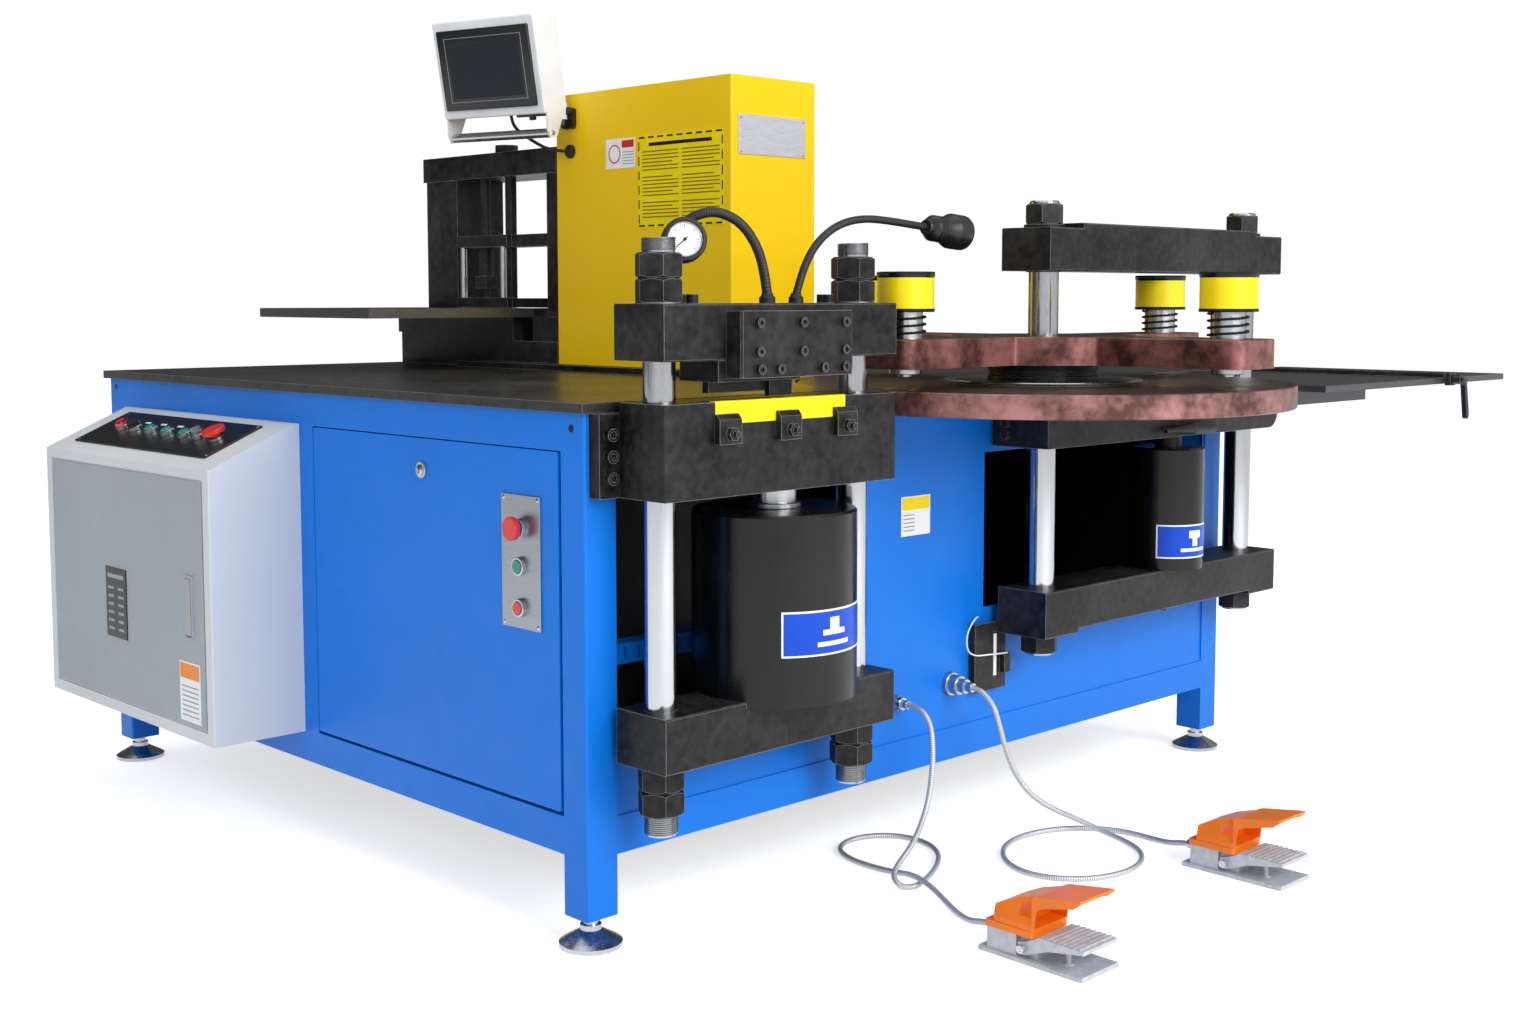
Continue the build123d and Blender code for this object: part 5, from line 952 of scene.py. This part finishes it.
def build_gauge():
    boot = turned([(0, -17), (29, -17), (33, -14), (35, -10), (35, 12), (33.5, 16), (31, 17),
                   (28.6, 17), (27.2, 15.5), (27.2, 12), (0, 12)], GAUGE_CENTRE, GAUGE_FACING, 64)
    grip = [turned(ring(34.0, 35.0, z, z + 2.0, 0.8), GAUGE_CENTRE, GAUGE_FACING, 64)
            for z in (-8.0, -3.0, 2.0, 7.0)]
    neck = turned([(0, 0), (11.5, 0), (13, 8), (13, 22), (0, 22)],
                  GAUGE_CENTRE - GAUGE_FACING * 36.0, GAUGE_FACING, 32)
    feet = [turned([(0, 0), (13, 0), (13, 9), (10, 12), (9, 16), (0, 16)], (-579, -890, 999.0),
                   UP, 32),
            turned([(0, 0), (12, 0), (12, 9), (9, 12), (8, 16), (0, 16)], (-514, -890, 999.0),
                   UP, 32)]
    finished("gauge_boot", joined([boot, *grip, neck, *feet]), "rubber", "cut_yoke",
             replaced=("gauge_and_lamp",))
    bezel = turned(ring(25.6, 27.4, 12.0, 14.6, 0.4), GAUGE_CENTRE, GAUGE_FACING, 64)
    finished("gauge_bezel", bezel, "bright_round", "cut_yoke")
    dial = turned([(0, 11.9), (26.4, 11.9), (26.4, 12.6), (0, 12.6)], GAUGE_CENTRE, GAUGE_FACING,
                  64)
    finished("gauge_dial", dial, "dial_white", "cut_yoke")
    marks = []
    for i in range(31):
        # Every fifth mark of the scale is longer and wider
        inner, half = (17.8, 0.35) if i % 5 == 0 else (20.4, 0.2)
        marks.append(rotated(bar((inner, -half, 12.5), (23.6, half, 12.8)), 225.0 - i * 9.0))
    marks.append(rotated(bar((-6.0, -0.7, 12.9), (18.0, 0.7, 13.4)), 222.0))
    marks.append(turned([(0, 12.5), (2.6, 12.5), (2.6, 13.8), (0, 13.8)], steps=20))
    side = Vector((-GAUGE_FACING.y, GAUGE_FACING.x, 0.0)).normalized()
    face = laid(joined(marks), GAUGE_CENTRE, side, GAUGE_FACING.cross(side), GAUGE_FACING)
    flat("gauge_marks", [face], "print_black", "cut_yoke")

    stiff_cable("gauge_hose", HOSE_ROUTE, 0.016,
                ribbed("hose_sheath", srgb(34, 34, 35), 70, 0.0, 0.5), "cut_yoke")
    stiff_cable("lamp_arm", ARM_ROUTE, 0.013,
                ribbed("arm_segments", srgb(40, 40, 42), 95, 0.3, 0.4), "cut_yoke")

    start = Vector(ARM_ROUTE[-1])
    shell = turned([(0, 0.3), (13, 0.3), (14, 2), (14, 10), (21, 15), (23, 18), (23, 23),
                    (21.6, 24), (21.6, 26), (23, 27), (23, 31), (21.6, 32), (21.6, 34), (23, 35),
                    (24, 50), (30, 63), (31, 66), (31, 97), (30, 99.5), (28.5, 99.5), (27.3, 98),
                    (27.3, 84), (0, 84)],
                   start, LAMP_ALONG, 48)
    finished("lamp_shell", shell, "black_plastic", "cut_yoke")
    lens = turned([(0, 83.8), (27.2, 83.8), (27.2, 87), (20, 88.6), (0, 89.4)], start, LAMP_ALONG,
                  48)
    finished("lamp_lens", lens, "lamp_glass", "cut_yoke")


# Left end: service door fittings and the console
def collar_ring(inner, stop):
    """The collar of a push button, lower round a stop button, whose head comes down on it."""
    return ring(inner, 14.9, 0.2, 7.3 if stop else 8.3, 0.8)


def build_door_fittings():
    flat("button_plate", [bar((-901.0, -714.3, 486.7), (-898.0, -613.7, 699.3), 0.6)],
         "stainless", "service_door")
    screws = [turned([(0, 1.0), (2.4, 0.8), (3.6, 0.0), (0, 0.0)], (-901.0, y, z), LEFT, 20)
              for y in (-708.0, -620.0) for z in (493.0, 693.0)]
    collars = [turned(collar_ring(10.95, z == 647.0), (-900.5, -664.0, z), LEFT, 48)
               for z in (647.0, 586.0, 520.0)]
    lock = [turned([(0, 0), (14.4, 0), (14.4, 3.4), (13.2, 4.4), (0, 4.4)],
                   (-898.0, -386.0, 719.0), LEFT, 40),
            turned([(0, 4.2), (9.2, 4.2), (9.2, 6.2), (8.4, 6.6), (0, 6.6)],
                   (-898.0, -386.0, 719.0), LEFT, 40)]
    finished("door_collars", joined(screws + collars + lock), "bright_round", "service_door")
    flat("lock_slot", [bar((-904.8, -387.2, 713.0), (-904.4, -384.8, 725.0))], "print_black",
         "service_door")
    holes = [turned([(0, 0.5), (6.0, 0.5), (6.4, 0.0), (0, 0.0)], (-897.0, y, z), LEFT, 24)
             for y, z in ((-790.0, 810.0), (790.0, 816.0))]
    finished("frame_holes", joined(holes), "print_black")


CONSOLE_U = {"lamp": -180.0, "selector": -125.0, "green_1": -55.0, "green_2": 16.0,
             "green_3": 90.0, "key": 147.0, "stop": 217.0}
CONSOLE_START = Vector((-1079.0, 377.5, 700.0))
CONSOLE_SLOPE = Vector((172.0, 0.0, 76.0)).normalized()
CONSOLE_NORMAL = Vector((-CONSOLE_SLOPE.z, 0.0, CONSOLE_SLOPE.x))
CONSOLE_ROW = 101.0


def console_point(u, along, height):
    """A place on the console slope: u runs towards -Y, along runs up the slope."""
    return (CONSOLE_START + CONSOLE_SLOPE * along + CONSOLE_NORMAL * height
            + Vector((0.0, -u, 0.0)))


def on_console(bm, at):
    """Lay a mesh made about +Z on the slope at a place in millimetres."""
    return laid(bm, at, FRONT, CONSOLE_SLOPE, CONSOLE_NORMAL)


def build_console():
    normal = CONSOLE_NORMAL
    plate = bar((-281.0, -64.0, 0.1), (281.0, 64.0, 3.4), 0.6)
    flat("console_plate", [on_console(plate, console_point(0.0, CONSOLE_ROW, 0.0))],
         "black_plastic")
    parts = []
    for name, u in CONSOLE_U.items():
        inner = 10.95 if name.startswith("green") or name == "stop" else 10.6
        parts.append(turned(collar_ring(inner, name == "stop"),
                            console_point(u, CONSOLE_ROW, 3.0), normal, 40))
    for u in (-274.0, 274.0):
        for s in (44.0, 158.0):
            parts.append(turned([(0, 1.2), (2.6, 1.0), (4.0, 0.0), (0, 0.0)],
                                console_point(u, s, 3.3), normal, 20))
    finished("console_collars", joined(parts), "bright_round")
    for number in (1, 2, 3):
        cap = turned([(0, 4.6), (7.0, 4.4), (9.6, 3.2), (10.4, 1.0), (10.4, 0.0), (0, 0.0)],
                     console_point(CONSOLE_U["green_%d" % number], CONSOLE_ROW, 12.0), normal, 36)
        finished("console_cap_%d" % number, cap, "green_cap", "console_button_%d" % number)
    lens = turned([(0, 10.2), (9.0, 10.2), (12.4, 8.6), (13.7, 5.0), (13.7, 0.0), (0, 0.0)],
                  console_point(CONSOLE_U["lamp"], CONSOLE_ROW, 11.2), normal, 20)
    finished("pilot_lens", lens, "red_lens")
    marks = [on_console(bar((-11.0, -3.0, 0.0), (11.0, 3.0, 0.5), 0.1),
                        console_point(u, 130.0, 3.2))
             for name, u in CONSOLE_U.items() if name != "stop"]
    flat("console_fields", marks, "print_white")


# Front face: glands, wire loop of the limit switch, sleeves of the guide rods and piston rod
def build_front_fittings():
    glands = [turned([(0, 0), (13.2, 0), (13.2, 10.2), (0, 10.2)], (-183.0, -817.0, 277.0), FRONT,
                     36),
              hexagon_nut((-183.0, -827.0, 277.0), FRONT, 22.6, 10.2, 12.0),
              turned(ring(5.2, 7.8, 0.0, 12.2), (-183.0, -837.0, 277.0), FRONT, 32)]
    flat("small_gland", glands, "bright_round")
    big = turned([(0, 0), (22.2, 0), (22.2, 8.6), (21, 9.2), (18.2, 9.2), (18.2, 26.6),
                  (17, 27.2), (13.2, 27.2), (13.2, 41.2), (9.2, 41.2), (9.2, 56.4), (8.2, 57.2),
                  (5.1, 57.2), (5.1, 50.0), (0, 50.0)], (-30.0, -817.0, 288.0), FRONT, 40)
    finished("large_gland", big, "bright_round")
    stiff_cable("switch_wire", [(46, -818, 402), (38, -832, 409), (10, -840, 405),
                                (-13, -842, 378), (-9, -842, 348), (16, -842, 336),
                                (50, -842, 334), (84, -846, 332), (104, -848, 331.6)],
                0.0032, MATERIALS["white"], "base")
    flat("switch_strap", [bar((80.6, -833.8, 288.0), (89.4, -832.6, 369.0), 0.4)], "print_white")
    rods = [upright([(0, SHELF_TOP + 23.5), (8.3, SHELF_TOP + 23.5), (8.3, 1122.5), (0, 1122.5)],
                    (-168.0, y), 32) for y in (386.0, 541.0)]
    finished("guide_rod_sleeves", joined(rods), "chrome")
    rod = upright(ring(33.0, 35.15, CUT_CYLINDER_TOP - 30.0, 704.5, 0.1), CUT_CYLINDER, 64)
    finished("cut_rod_sleeve", rod, "bright_round")
    collar = upright(ring(36.0, 43.0, CUT_CYLINDER_TOP + 0.1, CUT_CYLINDER_TOP + 9.0, 1.2),
                     CUT_CYLINDER, 64)
    finished("cut_rod_collar", collar, "bright_round", "cut_yoke")


# Pedals: pivot bolts and heel glands
def build_pedal_fittings():
    bolts = []
    for x, y in ((-404.0, -1228.0), (171.0, -1228.0)):
        for side in (-1, 1):
            at = (x + side * 50.0, y - 82.0, 23.0)
            towards = (side, 0.0, 0.0)
            bolts.append(turned([(0, 1.4), (2.0, 1.4), (2.6, 2.4), (6.2, 2.4), (7.2, 1.4),
                                 (7.2, 0.0), (0, 0.0)], at, towards, 28))
        bolts.append(turned(ring(5.2, 8.0, 0.0, 12.0), (x, y + 6.0, 26.0), (0.0, 1.0, 0.0), 28))
    finished("pedal_bolts", joined(bolts), "bright_round")


build_camera()
build_materials()
build_cords()
build_floor()
build_light()
dress_nodes()
build_heads()
build_punch_columns()
build_cut_threads()
build_station_plates()
build_flat_plates()
build_operator_panel()
build_gauge()
build_door_fittings()
build_console()
build_front_fittings()
build_pedal_fittings()
